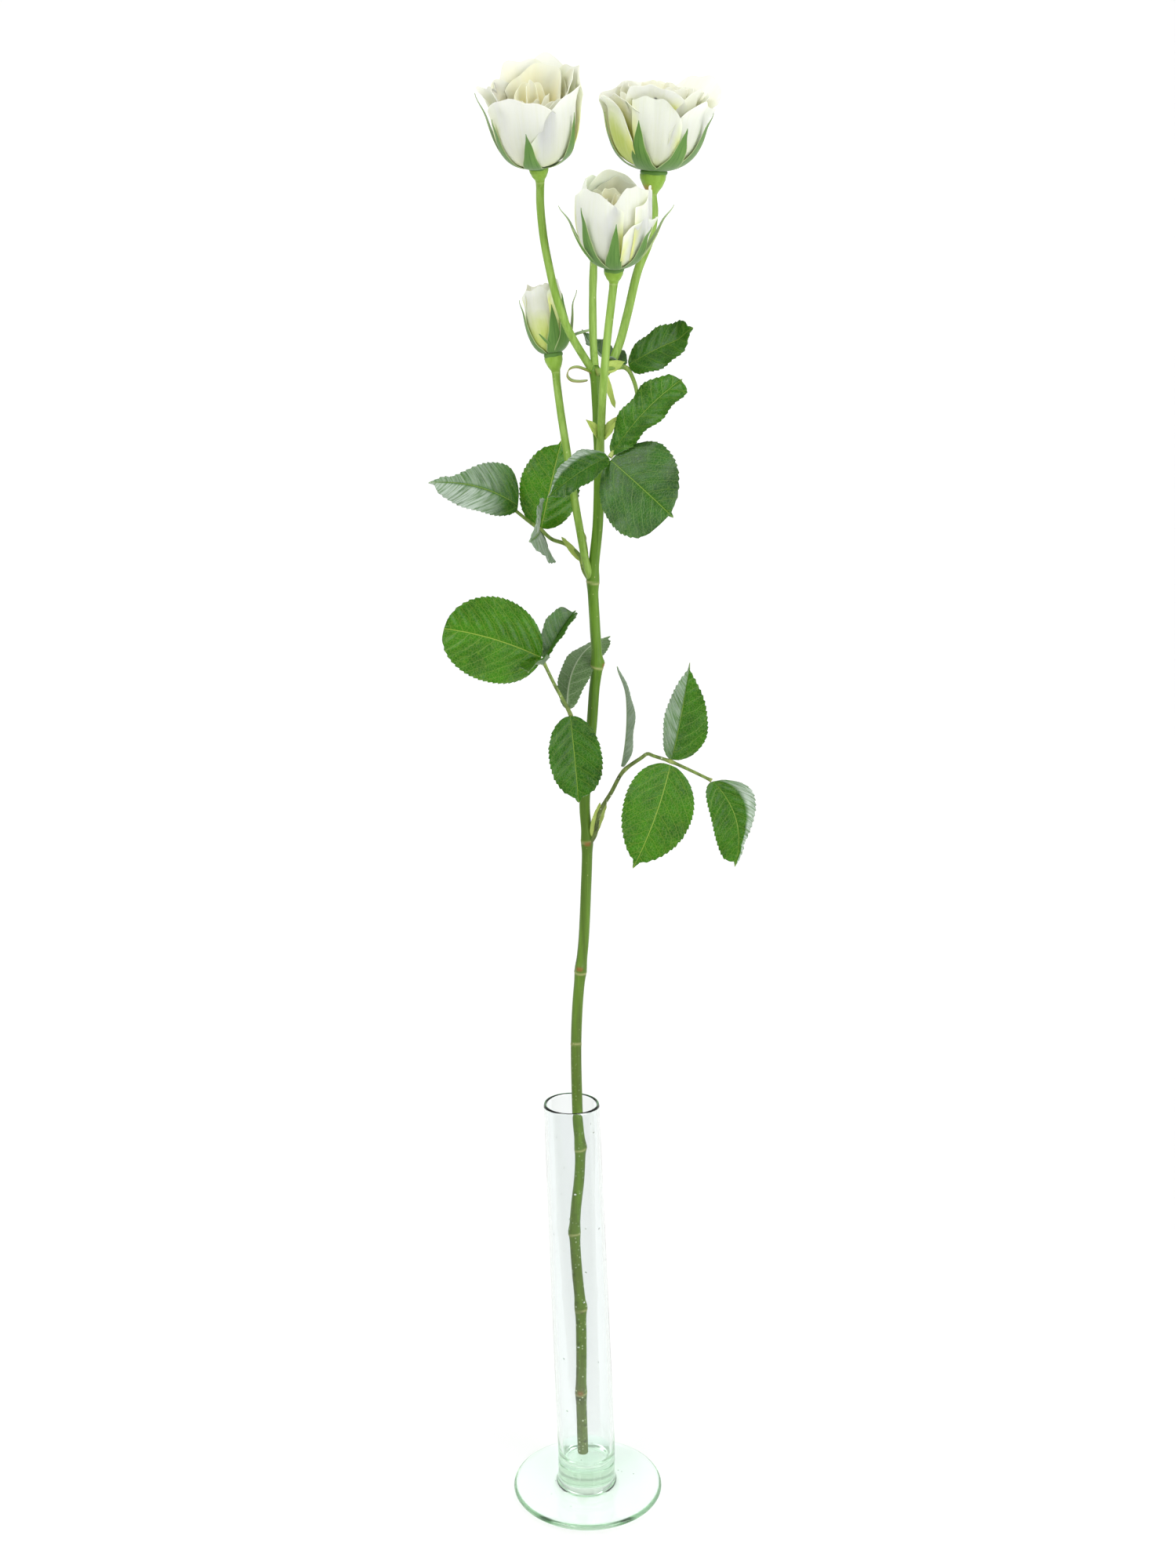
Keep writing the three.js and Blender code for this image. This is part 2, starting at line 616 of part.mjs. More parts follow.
// A compound leaf: one stalk with its stipules, and leaflets cut clear of it.
function makeLeaf(name, spec) {
  const group = new THREE.Group();
  const [thick, thin] = spec.radii;
  let stalk = stalkSolid(spec.stalk, thick, 6, thin);
  for (const each of spec.stipules) stalk = stalk.add(bladeSolid(each, stipule));
  group.add(named(name + "_stalk", geometryFrom(cutClear(stalk)), finishes.youngStem));
  inPlace.push(stalkSolid(spec.stalk, thick + seatGap, 6, thin + seatGap));
  spec.leaflets.forEach((each, i) => {
    const shape = cutClear(bladeSolid(each, leaflet));
    group.add(named(name + "_leaflet_" + (i + 1), geometryFrom(shape), finishes.leaf));
  });
  return group;
}

const rose = new THREE.Group();
rose.add(named("vase", makeVase(), finishes.glass));
const wholeStem = solidFrom(stemRings(0));
const lowerStem = wholeStem.trimByPlane([0, 0, -1], -stem.partHeight);
const upperStem = wholeStem.trimByPlane([0, 0, 1], stem.partHeight + seatGap);
rose.add(named("main_stem_lower", geometryFrom(lowerStem), finishes.bark));
rose.add(named("main_stem_upper", geometryFrom(upperStem), finishes.bark));
const stubShape = cutClear(stalkSolid(stub.line, stub.radius, 8));
rose.add(named("stalk_cut_stub", geometryFrom(stubShape), finishes.youngStem));
inPlace.push(stalkSolid(stub.line, stub.radius + seatGap, 8));
for (const [name, spec] of Object.entries(flowers)) {
  rose.add(named("stalk_" + name, makeFlowerStalk(spec), finishes.youngStem));
  rose.add(makeFlower(name, spec));
}
for (const [name, spec] of Object.entries(leaves)) rose.add(makeLeaf(name, spec));
for (const [name, spec] of Object.entries(bracts)) {
  rose.add(named(name, geometryFrom(cutClear(bladeSolid(spec, stipule))), finishes.sepal));
}

export default rose;
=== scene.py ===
# A cut spray-rose stem in a slender hand-made glass vase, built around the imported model.
# Shapes are worked out in millimetres and put into meshes in metres.
import functools
import math

import bpy
import numpy as np
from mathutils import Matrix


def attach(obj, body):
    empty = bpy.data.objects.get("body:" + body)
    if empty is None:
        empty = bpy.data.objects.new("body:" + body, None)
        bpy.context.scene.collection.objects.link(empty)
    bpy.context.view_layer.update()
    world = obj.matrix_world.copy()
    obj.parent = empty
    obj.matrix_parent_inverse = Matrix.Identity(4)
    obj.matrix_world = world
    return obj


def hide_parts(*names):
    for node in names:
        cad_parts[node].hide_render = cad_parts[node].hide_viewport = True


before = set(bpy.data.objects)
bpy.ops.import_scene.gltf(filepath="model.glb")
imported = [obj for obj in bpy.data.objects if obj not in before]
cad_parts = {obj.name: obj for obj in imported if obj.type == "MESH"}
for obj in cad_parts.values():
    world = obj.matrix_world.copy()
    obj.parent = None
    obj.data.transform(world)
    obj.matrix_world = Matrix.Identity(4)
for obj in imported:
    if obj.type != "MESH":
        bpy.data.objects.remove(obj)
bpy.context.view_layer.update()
print("frame loaded:", len(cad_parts), "nodes")

mm = 0.001


def linearColour(hexText):
    # sRGB hex to linear: below 0.04045 it is c / 12.92, above ((c + 0.055) / 1.055) ^ 2.4
    c = np.array([int(hexText[i:i + 2], 16) for i in (1, 3, 5)]) / 255
    c = np.where(c <= 0.04045, c / 12.92, ((c + 0.055) / 1.055) ** 2.4)
    return (*map(float, c), 1.0)


def unit(a):
    # each vector over its length
    return a / np.maximum(np.linalg.norm(a, axis=-1, keepdims=True), 1e-9)


def smooth(low, high, x):
    # 0 below low, 1 above high, 3t^2 - 2t^3 between
    t = np.clip((x - low) / (high - low), 0, 1)
    return t * t * (3 - 2 * t)


def splinePoints(points, steps):
    # centripetal Catmull-Rom: knots are spaced by the root of the chord, ends are mirrored,
    # and each span is a cubic Hermite curve sampled evenly; also returns the unit tangents
    p = np.array(points, float)
    p = np.vstack([2 * p[0] - p[1], p, 2 * p[-1] - p[-2]])
    gap = np.sqrt(np.linalg.norm(np.diff(p, axis=0), axis=1))[:, None]
    before, here, after = gap[:-2], gap[1:-1], gap[2:]
    p0, p1, p2, p3 = p[:-3], p[1:-2], p[2:-1], p[3:]
    m1 = ((p1 - p0) / before - (p2 - p0) / (before + here) + (p2 - p1) / here) * here
    m2 = ((p2 - p1) / here - (p3 - p1) / (here + after) + (p3 - p2) / after) * here
    t = np.linspace(0, 1, steps, endpoint=False)[None, :, None]
    a, b = p1[:, None], m1[:, None]
    c, d = (3 * (p2 - p1) - 2 * m1 - m2)[:, None], (m1 + m2 - 2 * (p2 - p1))[:, None]
    line = (a + b * t + c * t * t + d * t ** 3).reshape(-1, 3)
    run = (b + 2 * c * t + 3 * d * t * t).reshape(-1, 3)
    return np.vstack([line, p2[-1]]), unit(np.vstack([run, m2[-1]]))


def gridQuads(rows, cols, around=False, flip=False):
    # corner numbers of the quads of a rows x cols grid; around joins the last column to the first
    i = np.arange(rows - 1)[:, None]
    j = np.arange(cols if around else cols - 1)[None, :]
    nextJ = (j + 1) % cols
    quads = np.stack([i * cols + j, i * cols + nextJ, (i + 1) * cols + nextJ, (i + 1) * cols + j], -1)
    quads = quads.reshape(-1, 4)
    return quads[:, ::-1] if flip else quads


def fanCaps(rows, cols):
    # triangles that close the first and the last row of a grid, from the two points that follow it
    n = rows * cols
    k = np.arange(cols)
    nextK = (k + 1) % cols
    return np.concatenate([np.stack([np.full(cols, n), nextK, k], -1),
                           np.stack([np.full(cols, n + 1), n - cols + k, n - cols + nextK], -1)])


def unitGrid(rows, cols):
    # u is a column from 0 to 1 and v is a row from -1 to 1
    return np.linspace(0, 1, rows)[:, None], np.linspace(-1, 1, cols)[None, :]


def fullTurn(sides):
    # the directions of a ring's sides, as a row
    return np.linspace(0, 2 * np.pi, sides, endpoint=False)[None, :]


def makePiece(name, points, faces, material, uv=None, marks=None, sharpAt=50):
    # puts whole arrays into a mesh: points in mm, faces as arrays of corner numbers, uv and marks per point
    mesh = bpy.data.meshes.new(name)
    sizes = np.concatenate([np.full(len(f), f.shape[1]) for f in faces])
    corners = np.concatenate([f.ravel() for f in faces]).astype(np.int32)
    mesh.vertices.add(len(points))
    mesh.vertices.foreach_set("co", (np.asarray(points, np.float32) * mm).ravel())
    mesh.loops.add(len(corners))
    mesh.loops.foreach_set("vertex_index", corners)
    mesh.polygons.add(len(sizes))
    mesh.polygons.foreach_set("loop_start", np.concatenate([[0], np.cumsum(sizes)[:-1]]).astype(np.int32))
    mesh.polygons.foreach_set("loop_total", sizes.astype(np.int32))
    mesh.update(calc_edges=True)
    if uv is not None:
        mesh.uv_layers.new(name="own").data.foreach_set("uv", np.asarray(uv, np.float32)[corners].ravel())
    for label, values in (marks or {}).items():
        attribute = mesh.attributes.new(label, "FLOAT", "POINT")
        attribute.data.foreach_set("value", np.asarray(values, np.float32).ravel())
    mesh.shade_smooth()
    mesh.set_sharp_from_angle(angle=math.radians(sharpAt))
    mesh.validate()
    mesh.materials.append(material)
    piece = bpy.data.objects.new(name, mesh)
    bpy.context.collection.objects.link(piece)
    return piece


def sheetParts(surface, thickness, uv):
    # a closed thin sheet from a rows x cols x 3 surface: it is moved half a thickness each way along
    # its normal (dv x du), and a strip closes each of the four edges
    rows, cols = surface.shape[:2]
    du = np.gradient(surface, axis=0)
    dv = np.gradient(surface, axis=1)
    normal = unit(np.cross(dv, du))
    half = np.broadcast_to(np.asarray(thickness, float) / 2, (rows, cols))[..., None]
    points = np.concatenate([surface + normal * half, surface - normal * half]).reshape(-1, 3)
    n = rows * cols
    ids = np.arange(n).reshape(rows, cols)
    foot, head, left, right = ids[0], ids[-1], ids[:, 0], ids[:, -1]
    strips = [
        np.stack([foot[:-1], foot[:-1] + n, foot[1:] + n, foot[1:]], -1),
        np.stack([head[:-1], head[1:], head[1:] + n, head[:-1] + n], -1),
        np.stack([left[:-1], left[1:], left[1:] + n, left[:-1] + n], -1),
        np.stack([right[:-1], right[:-1] + n, right[1:] + n, right[1:]], -1),
    ]
    faces = np.concatenate([gridQuads(rows, cols), gridQuads(rows, cols, flip=True) + n, *strips])
    outer = np.concatenate([np.ones(n), np.zeros(n)])
    return points, faces, np.concatenate([uv.reshape(-1, 2)] * 2), outer


def joinParts(parts):
    # several (points, faces, uv, marks...) parts as one set of arrays
    shift = np.cumsum([0] + [len(p[0]) for p in parts[:-1]])
    columns = [np.concatenate([p[k] for p in parts]) for k in range(len(parts[0])) if k != 1]
    faces = np.concatenate([p[1] + s for p, s in zip(parts, shift)])
    return [columns[0], faces, *columns[1:]]


def tubeParts(line, tangent, radius, sides):
    # rings of the given radius (rows, or rows x sides) carried along a line and capped at both ends;
    # one ring axis is the part of the y axis square to the line
    across = unit(np.array([0, 1, 0.0]) - tangent * tangent[:, 1:2])
    other = np.cross(tangent, across)
    turn = fullTurn(sides)[..., None]
    radius = np.asarray(radius) if np.ndim(radius) == 2 else np.asarray(radius)[:, None]
    radius = np.broadcast_to(radius, (len(line), sides))
    spread = np.cos(turn) * across[:, None] + np.sin(turn) * other[:, None]
    rings = line[:, None] + radius[..., None] * spread
    points = np.concatenate([rings.reshape(-1, 3), line[:1], line[-1:]])
    return points, gridQuads(len(line), sides, around=True), fanCaps(len(line), sides)


# what a node's third argument sets, and its main output where that isn't the first one
mainSetting = {"Math": "operation", "MapRange": "interpolation_type", "Mix": "data_type", "UVMap": "uv_map",
               "Attribute": "attribute_name", "TexVoronoi": "feature"}
mainOutput = {"Mix": 2, "Attribute": 2}


def addNode(tree, kind, inputs=(), setting=None, stops=()):
    # adds one node with its setting, its colour stops and its links, and gives back its main output. An input
    # is a value, a colour's hex text, or the output that gets linked; inputs are in their order, or named.
    node = tree.nodes.new("ShaderNode" + kind)
    if setting:
        setattr(node, mainSetting[kind], setting)
    for spot, (at, colour) in enumerate(stops):
        stop = node.color_ramp.elements[spot] if spot < 2 else node.color_ramp.elements.new(at)
        stop.position, stop.color = at, linearColour(colour)
    for key, value in inputs.items() if isinstance(inputs, dict) else enumerate(inputs):
        if isinstance(value, bpy.types.NodeSocket):
            tree.links.new(value, node.inputs[key])
        else:
            node.inputs[key].default_value = linearColour(value) if isinstance(value, str) else value
    return node.outputs[mainOutput.get(kind, 0)] if node.outputs else None


def emptyTree(owner):
    # clears the nodes of a material or the world, and gives back addNode for its tree
    owner.use_nodes = True
    owner.node_tree.nodes.clear()
    return functools.partial(addNode, owner.node_tree)


def newMaterial(name):
    material = bpy.data.materials.new(name)
    return material, emptyTree(material)


def addSurface(add, look, colour, relief, **more):
    # the end that the rose's materials share: a bump from the relief, the surface, and the output
    bump = add("Bump", {"Strength": look["bumpStrength"], "Distance": look["bumpHeight"], "Height": relief})
    shader = add("BsdfPrincipled", {"Base Color": colour, "Roughness": look["roughness"], "IOR": look["ior"],
                                    "Normal": bump, **more})
    add("OutputMaterial", [shader])


# Rose petal: a thin waxy skin over air-filled cells, so it is matt, soft and lets a little light through.
# Its foot is yellow-green, its middle ivory and its rim nearly white; the side margins are green-yellow,
# partly painted shade under their rolled edges, and inner petals are creamier, down to a deep yellow at their
# feet, partly their own colour and partly painted shade deep in the flower.
petalLook = {
    "foot": "#c0d468", "middle": "#e6efc8", "rim": "#eaf0de", "margin": "#d6e06a", "vein": "#dde5b4",
    "innerFoot": "#dcb53c", "innerMiddle": "#ebe1a6", "innerRim": "#dfe0c6", "footTo": 0.22, "middleAt": 0.58,
    "innerFootTo": 0.25, "innerMiddleAt": 0.8, "cloudSize": 3.5, "cloudShift": 0.34, "marginFrom": 0.44,
    "marginTo": 0.68, "marginTintAndShade": 0.9, "marginAtRim": 0.2, "veinsAcross": 26, "veinsAlong": 2.2,
    "veinTint": 0.35, "roughness": 0.6, "ior": 1.42, "softness": 0.85, "sheen": 0.1,
    "softReach": (0.0016, 0.0016, 0.0014), "bumpStrength": 0.2, "bumpHeight": 0.0003,
}


def makePetalMaterial():
    material, add = newMaterial("rosePetal")
    look = petalLook
    place = add("UVMap", setting="own")
    parts = add("SeparateXYZ", [place]).node.outputs
    cloud = add("TexNoise", {"Vector": place, "Scale": look["cloudSize"], "Detail": 3})
    height = add("Math", [cloud, look["cloudShift"], parts[1]], "MULTIPLY_ADD")
    rim, middle = (1, look["rim"]), (look["middleAt"], look["middle"])
    colour = add("ValToRGB", [height], stops=[(look["footTo"], look["foot"]), rim, middle])
    height = add("Math", [height, 0.85], "MULTIPLY")
    rim, middle = (1, look["innerRim"]), (look["innerMiddleAt"], look["innerMiddle"])
    inside = add("ValToRGB", [height], stops=[(look["innerFootTo"], look["innerFoot"]), rim, middle])
    # how near a side margin: 0 in the middle, 1 on it, broken up by the same clouds, and less near the rim;
    # its green-yellow is partly the petal's own tint and partly painted shade under the rolled margins
    fromMiddle = add("Math", [parts[0], 0.5], "SUBTRACT")
    fromMiddle = add("Math", [fromMiddle], "ABSOLUTE")
    margin = add("Math", [cloud, 0.3, fromMiddle], "MULTIPLY_ADD")
    margin = add("MapRange", [margin, look["marginFrom"], look["marginTo"], 0, look["marginTintAndShade"]],
                 "SMOOTHSTEP")
    lower = add("MapRange", [parts[1], 0.7, 1, 1, look["marginAtRim"]], "SMOOTHSTEP")
    margin = add("Math", [margin, lower], "MULTIPLY")
    # veins fan out along the petal: noise that is long with the petal and about 1 mm wide across it
    stretched = add("Mapping", {"Vector": place, "Scale": (look["veinsAcross"], look["veinsAlong"], 1)})
    veins = add("TexNoise", {"Vector": stretched, "Scale": 1, "Detail": 4, "Distortion": 0.4})
    veinShare = add("MapRange", [veins, 0.5, 0.78, 0, look["veinTint"]])
    # painted shade, in part: the inner mark turns the colour creamy and deep yellow inside the flower, partly
    # the petals' own colour and partly the shade deep in the cup
    inner = add("Attribute", setting="inner")
    for share, over in ((margin, look["margin"]), (inner, inside), (veinShare, look["vein"])):
        colour = add("Mix", {0: share, 6: colour, 7: over}, "RGBA")
    addSurface(add, look, colour, veins, **{
        "Subsurface Weight": look["softness"], "Subsurface Radius": look["softReach"], "Subsurface Scale": 1,
        "Sheen Weight": look["sheen"], "Sheen Roughness": 0.5})
    return material


# Rose leaf: a waxy cuticle over deep green above, with a gloss; where the wax catches the light, a silver
# sheen is painted into the colour of both faces (painted highlight), and where light comes through a blade
# it is painted brighter (painted light). Below it is matt and grey-green. The UV map is the blade with 100 mm
# to a unit, and the midrib at y 0.5. Sizes are in millimetres. A kind of vein is how far from its line it is
# still full, how far off it is gone, and how strong it is.
leafLook = {
    "dark": "#173d06", "light": "#2b6104", "bright": "#488e04", "vein": "#6f8e34", "brightVein": "#abbd4c",
    "under": "#6a8161", "underLitThrough": "#4b6c33", "underVein": "#9eae8d", "silver": "#b0beb1",
    "veinSpacing": 5.4, "veinLean": 0.55, "veinCurve": 0.035, "veinWander": 2.2, "veinSide": 1.1,
    "sideVein": (0.04, 0.26, 0.4), "midrib": (0.1, 0.36, 0.9), "net": (0, 0.12, 0.24), "netSize": 1.2,
    "patchScale": 9, "mottle": 0.5, "roughness": 0.32, "underRoughness": 0.6, "ior": 1.35,
    "bumpStrength": 0.45, "bumpHeight": 0.0004,
}


def makeLeafMaterial():
    material, add = newMaterial("roseLeaf")
    look = leafLook
    place = add("UVMap", setting="own")
    parts = add("SeparateXYZ", [place]).node.outputs
    upper, tint, silver = (add("Attribute", setting=mark) for mark in ("outer", "tint", "silver"))
    # millimetres along the midrib and away from it
    along = add("Math", [parts[0], 100], "MULTIPLY")
    offset = add("Math", [parts[1], 100, -50], "MULTIPLY_ADD")
    away = add("Math", [offset], "ABSOLUTE")
    sideOf = add("Math", [offset], "SIGN")
    # side veins run forward and bend to the tip: a vein is where along - away * (lean + curve * away)
    # is a whole number of spacings
    lean = add("Math", [away, -look["veinCurve"], -look["veinLean"]], "MULTIPLY_ADD")
    forward = add("Math", [away, lean, along], "MULTIPLY_ADD")
    bent = add("Math", [sideOf, look["veinSide"], forward], "MULTIPLY_ADD")
    wander = add("TexNoise", {"Vector": place, "Scale": 22, "Detail": 2})
    bent = add("Math", [wander, look["veinWander"], bent], "MULTIPLY_ADD")
    nearVein = add("Math", [bent, look["veinSpacing"] / 2], "PINGPONG")
    cells = add("TexVoronoi", {"Vector": place, "Scale": 100 / look["netSize"]}, "DISTANCE_TO_EDGE")
    # side veins, midrib and net: each has its full strength on its line and is gone a little way off
    lines = []
    for distance, kind in ((nearVein, "sideVein"), (away, "midrib"), (cells, "net")):
        full, gone, strength = look[kind]
        lines.append(add("MapRange", [distance, full, gone, strength, 0], "SMOOTHSTEP"))
    veins = add("Math", lines[:2], "MAXIMUM")
    veins = add("Math", [veins, lines[2]], "MAXIMUM")
    patch = add("TexNoise", {"Vector": place, "Scale": look["patchScale"], "Detail": 7, "Roughness": 0.7})
    patch = add("MapRange", [patch, 0.32, 0.66])
    # painted light: where light comes through a blade, its tint mark mixes in the bright green here, the
    # bright vein colour and, below, the lit-through underside colour
    fresh = add("MapRange", [patch, 0, 1, look["mottle"], 1.12])
    fresh = add("Math", [fresh, tint], "MULTIPLY")
    # painted highlight: where the wax catches the light the colour is mixed towards a pale silver, in streaks
    # that run with the side veins
    streaks = add("CombineXYZ", [forward, away])
    streaks = add("Mapping", {"Vector": streaks, "Scale": (0.9, 0.12, 1)})
    streaks = add("TexNoise", {"Vector": streaks, "Scale": 1, "Detail": 3})
    streaks = add("MapRange", [streaks, 0.36, 0.58, 0.25])
    sheen = add("Math", [silver, streaks], "MULTIPLY")
    veinColour = add("Mix", {0: tint, 6: look["vein"], 7: look["brightVein"]}, "RGBA")
    top = look["dark"]
    for share, over in ((patch, look["light"]), (fresh, look["bright"]), (veins, veinColour),
                        (sheen, look["silver"])):
        top = add("Mix", {0: share, 6: top, 7: over}, "RGBA")
    below = look["under"]
    for share, over in ((tint, look["underLitThrough"]), (sheen, look["silver"]), (veins, look["underVein"])):
        below = add("Mix", {0: share, 6: below, 7: over}, "RGBA")
    colour = add("Mix", {0: upper, 6: below, 7: top}, "RGBA")
    gloss = add("MapRange", [upper, 0, 1, look["underRoughness"], look["roughness"]])
    sunk = add("Math", [veins, -1], "MULTIPLY")
    addSurface(add, look, colour, sunk, Roughness=gloss)
    return material


# Green bark and young stalks: a thin wax bloom over live green, with fine ribs lengthwise, small pale
# pores, and scars where leaves sat. Low on the stem it is duller and more olive. Sizes and heights are in
# millimetres.
barkLook = {
    "low": "#565b31", "high": "#4a7113", "light": "#668c2a", "scar": "#c9c08a", "eye": "#8a5a2b",
    "fresh": "#7fa83c", "speck": "#dfe6c8", "blotch": "#333a1c", "from": 20, "to": 420, "ribWidth": 0.5,
    "poreSpacing": 2.4, "speckSpacing": 1.6, "blotchSize": 4, "stretch": 0.035, "livelyLow": 0.45,
    "poreTint": 0.45, "speckTint": 0.9, "blotchTint": 0.7, "roughness": 0.42, "ior": 1.38,
    "bumpStrength": 0.3, "bumpHeight": 0.0002,
}
stalkLook = {**barkLook, "low": "#688f28", "high": "#789c37", "light": "#98b95c", "scar": "#d9dda0",
             "eye": "#a8763a", "fresh": "#8fb83a", "from": 320, "to": 620, "ribWidth": 0.4,
             "poreSpacing": 3.5}
leafStalkLook = {**stalkLook, "low": "#5b6a36", "high": "#6f8f38", "light": "#8ba552", "scar": "#c8cf7c",
                 "eye": "#7a5a34", "fresh": "#b3c763", "from": 330, "to": 540, "roughness": 0.45}


def makeBarkMaterial(name, look):
    material, add = newMaterial(name)
    place = add("TexCoord").node.outputs["Object"]
    height = add("SeparateXYZ", [place]).node.outputs[2]
    climb = add("MapRange", [height, look["from"] * mm, look["to"] * mm])
    # fine and broad ribs, both long with the stem, and livelier high up
    ribScale = 1000 / look["ribWidth"]
    ribPlace = add("Mapping", {"Vector": place, "Scale": (1, 1, look["stretch"])})
    ribs = add("TexNoise", {"Vector": ribPlace, "Scale": ribScale, "Detail": 3})
    broad = add("TexNoise", {"Vector": ribPlace, "Scale": ribScale / 5, "Detail": 2})
    streak = add("Math", [ribs, 0.5, broad], "MULTIPLY_ADD")
    streak = add("MapRange", [streak, 0.55, 0.98])
    lively = add("MapRange", [climb, 0, 1, look["livelyLow"], 1])
    streak = add("Math", [streak, lively], "MULTIPLY")
    porePlace = add("Mapping", {"Vector": place, "Scale": (1, 1, 0.6)})
    pore = add("TexVoronoi", {"Vector": porePlace, "Scale": 1000 / look["poreSpacing"]})
    pore = add("MapRange", [pore, 0.04, 0.11, look["poreTint"], 0], "SMOOTHSTEP")
    # low down it has stood in water: pale specks where air clings, as bright as the chance colour of their
    # cell, and darker blotches, a few millimetres wide
    wetted = add("MapRange", [climb, 0.05, 0.55, 1, 0])
    speck = add("TexVoronoi", {"Vector": place, "Scale": 1000 / look["speckSpacing"]})
    chance = add("SeparateXYZ", [speck.node.outputs["Color"]])
    chance = add("MapRange", [chance, 0.5, 0.8])
    speck = add("MapRange", [speck, 0.14, 0.3, look["speckTint"], 0])
    speck = add("Math", [speck, chance], "MULTIPLY")
    speck = add("Math", [speck, wetted], "MULTIPLY")
    blotch = add("TexNoise", {"Vector": place, "Scale": 1000 / look["blotchSize"], "Detail": 3})
    blotch = add("MapRange", [blotch, 0.52, 0.7, 0, look["blotchTint"]], "SMOOTHSTEP")
    blotch = add("Math", [blotch, wetted], "MULTIPLY")
    scar, fresh, eye = (add("Attribute", setting=mark) for mark in ("scar", "fresh", "eye"))
    colour = look["low"]
    for share, over in ((climb, "high"), (streak, "light"), (pore, "scar"), (blotch, "blotch"),
                        (speck, "speck"), (scar, "scar"), (fresh, "fresh"), (eye, "eye")):
        colour = add("Mix", {0: share, 6: colour, 7: look[over]}, "RGBA")
    addSurface(add, look, colour, streak)
    return material


# Sepals: like a leaf but downy, grey-green outside, paler and smoother inside, and pale along the edge
sepalLook = {"outside": "#6b9544", "deep": "#4c7a2c", "inside": "#a3bd8c", "edge": "#aebf84",
             "roughness": 0.6, "ior": 1.44, "down": 0.25, "edgeFrom": 0.86, "bumpStrength": 0.3,
             "bumpHeight": 0.0002}


def makeSepalMaterial():
    material, add = newMaterial("roseSepal")
    look = sepalLook
    place = add("UVMap", setting="own")
    parts = add("SeparateXYZ", [place]).node.outputs
    outer = add("Attribute", setting="outer")
    streaks = add("Mapping", {"Vector": place, "Scale": (14, 2.5, 1)})
    streaks = add("TexNoise", {"Vector": streaks, "Scale": 1, "Detail": 4})
    streaks = add("MapRange", [streaks, 0.32, 0.7])
    # distance from the middle line, 1 on the edge
    across = add("Math", [parts[0], 2, -1], "MULTIPLY_ADD")
    across = add("Math", [across], "ABSOLUTE")
    rim = add("MapRange", [across, look["edgeFrom"], 1], "SMOOTHSTEP")
    above = add("MapRange", [parts[1], 0.04, 0.2])
    rim = add("Math", [rim, above], "MULTIPLY")
    outside = add("Mix", {0: streaks, 6: look["deep"], 7: look["outside"]}, "RGBA")
    colour = add("Mix", {0: outer, 6: look["inside"], 7: outside}, "RGBA")
    colour = add("Mix", {0: rim, 6: colour, 7: look["edge"]}, "RGBA")
    addSurface(add, look, colour, streaks, **{"Sheen Weight": look["down"], "Sheen Roughness": 0.4})
    return material


# Recycled soda glass, blown and pressed by hand: clear in a thin wall, aqua green where it is thick.
glassLook = {"surface": "#fbfdfe", "depth": "#a2dca6", "shadow": "#f7fbf9", "absorbPerMetre": 17, "ior": 1.51,
             "roughness": 0, "rippleScale": 160, "rippleStrength": 0.35, "ripple": 0.00006,
             "seedSpacing": 8, "seedSize": 0.07, "seedDepth": 0.0002}


def makeGlassMaterial():
    material, add = newMaterial("recycledGlass")
    look = glassLook
    place = add("TexCoord").node.outputs["Object"]
    ripple = add("Mapping", {"Vector": place, "Scale": (1, 1, 0.25)})
    ripple = add("TexNoise", {"Vector": ripple, "Scale": look["rippleScale"], "Detail": 1})
    bump = add("Bump", {"Strength": look["rippleStrength"], "Distance": look["ripple"], "Height": ripple})
    # seeds: small closed bubbles that show as dimples, one to a cell
    seeds = add("TexVoronoi", {"Vector": place, "Scale": 1000 / look["seedSpacing"]})
    seeds = add("MapRange", [seeds, 0, look["seedSize"]], "SMOOTHSTEP")
    bump = add("Bump", {"Strength": 1, "Distance": look["seedDepth"], "Height": seeds, "Normal": bump})
    shader = add("BsdfPrincipled", {
        "Base Color": look["surface"], "Roughness": look["roughness"], "IOR": look["ior"],
        "Transmission Weight": 1, "Normal": bump})
    # lamps shine through to what is inside, as they do through thin glass
    clear = add("BsdfTransparent", [look["shadow"]])
    shadow = add("LightPath").node.outputs["Is Shadow Ray"]
    mixed = add("MixShader", [shadow, shader, clear])
    depth = add("VolumeAbsorption", {"Color": look["depth"], "Density": look["absorbPerMetre"]})
    add("OutputMaterial", {"Surface": mixed, "Volume": depth})
    return material


rosePetal = makePetalMaterial()
roseLeaf = makeLeafMaterial()
roseBark = makeBarkMaterial("roseBark", barkLook)
youngStalk = makeBarkMaterial("youngStalk", stalkLook)
leafStalk = makeBarkMaterial("leafStalk", leafStalkLook)
roseSepal = makeSepalMaterial()
recycledGlass = makeGlassMaterial()
print("materials made")


# Vase: half its section as radius and height pairs, turned round the axis; its tube leans, its foot is uneven
vase = {
    "outside": [(31, 0), (34.2, 0.25), (35.5, 0.9), (36, 1.8), (35.6, 2.8), (34.2, 3.3), (30, 3.45),
                (20, 3.6), (15.6, 4.0), (14.4, 4.7), (14.0, 5.8), (13.85, 8), (13.8, 12), (13.85, 20),
                (13.8, 45), (13.6, 90), (13.3, 140), (13.02, 180), (13.0, 192), (13.1, 197.5),
                (12.95, 199.3)],
    "rim": [(12.5, 200.0), (11.9, 199.8)],
    "inside": [(11.6, 199), (11.5, 196), (11.5, 192), (11.6, 160), (11.75, 140), (11.95, 90), (12.0, 45),
               (12.0, 24), (11.6, 19.6), (10.2, 16.7), (8, 15.5), (5, 15.1)],
    "underside": [(10, 0, 0), (20, 0, 0)], "innermost": 2.5, "hollowFloor": 15, "height": 200,
    "lean": 7, "leanStart": 20, "tubeRadius": 13.8, "footRadius": 36,
    "outOfRound": 1.2, "outOfRoundSide": -60, "around": 128, "between": 6,
}


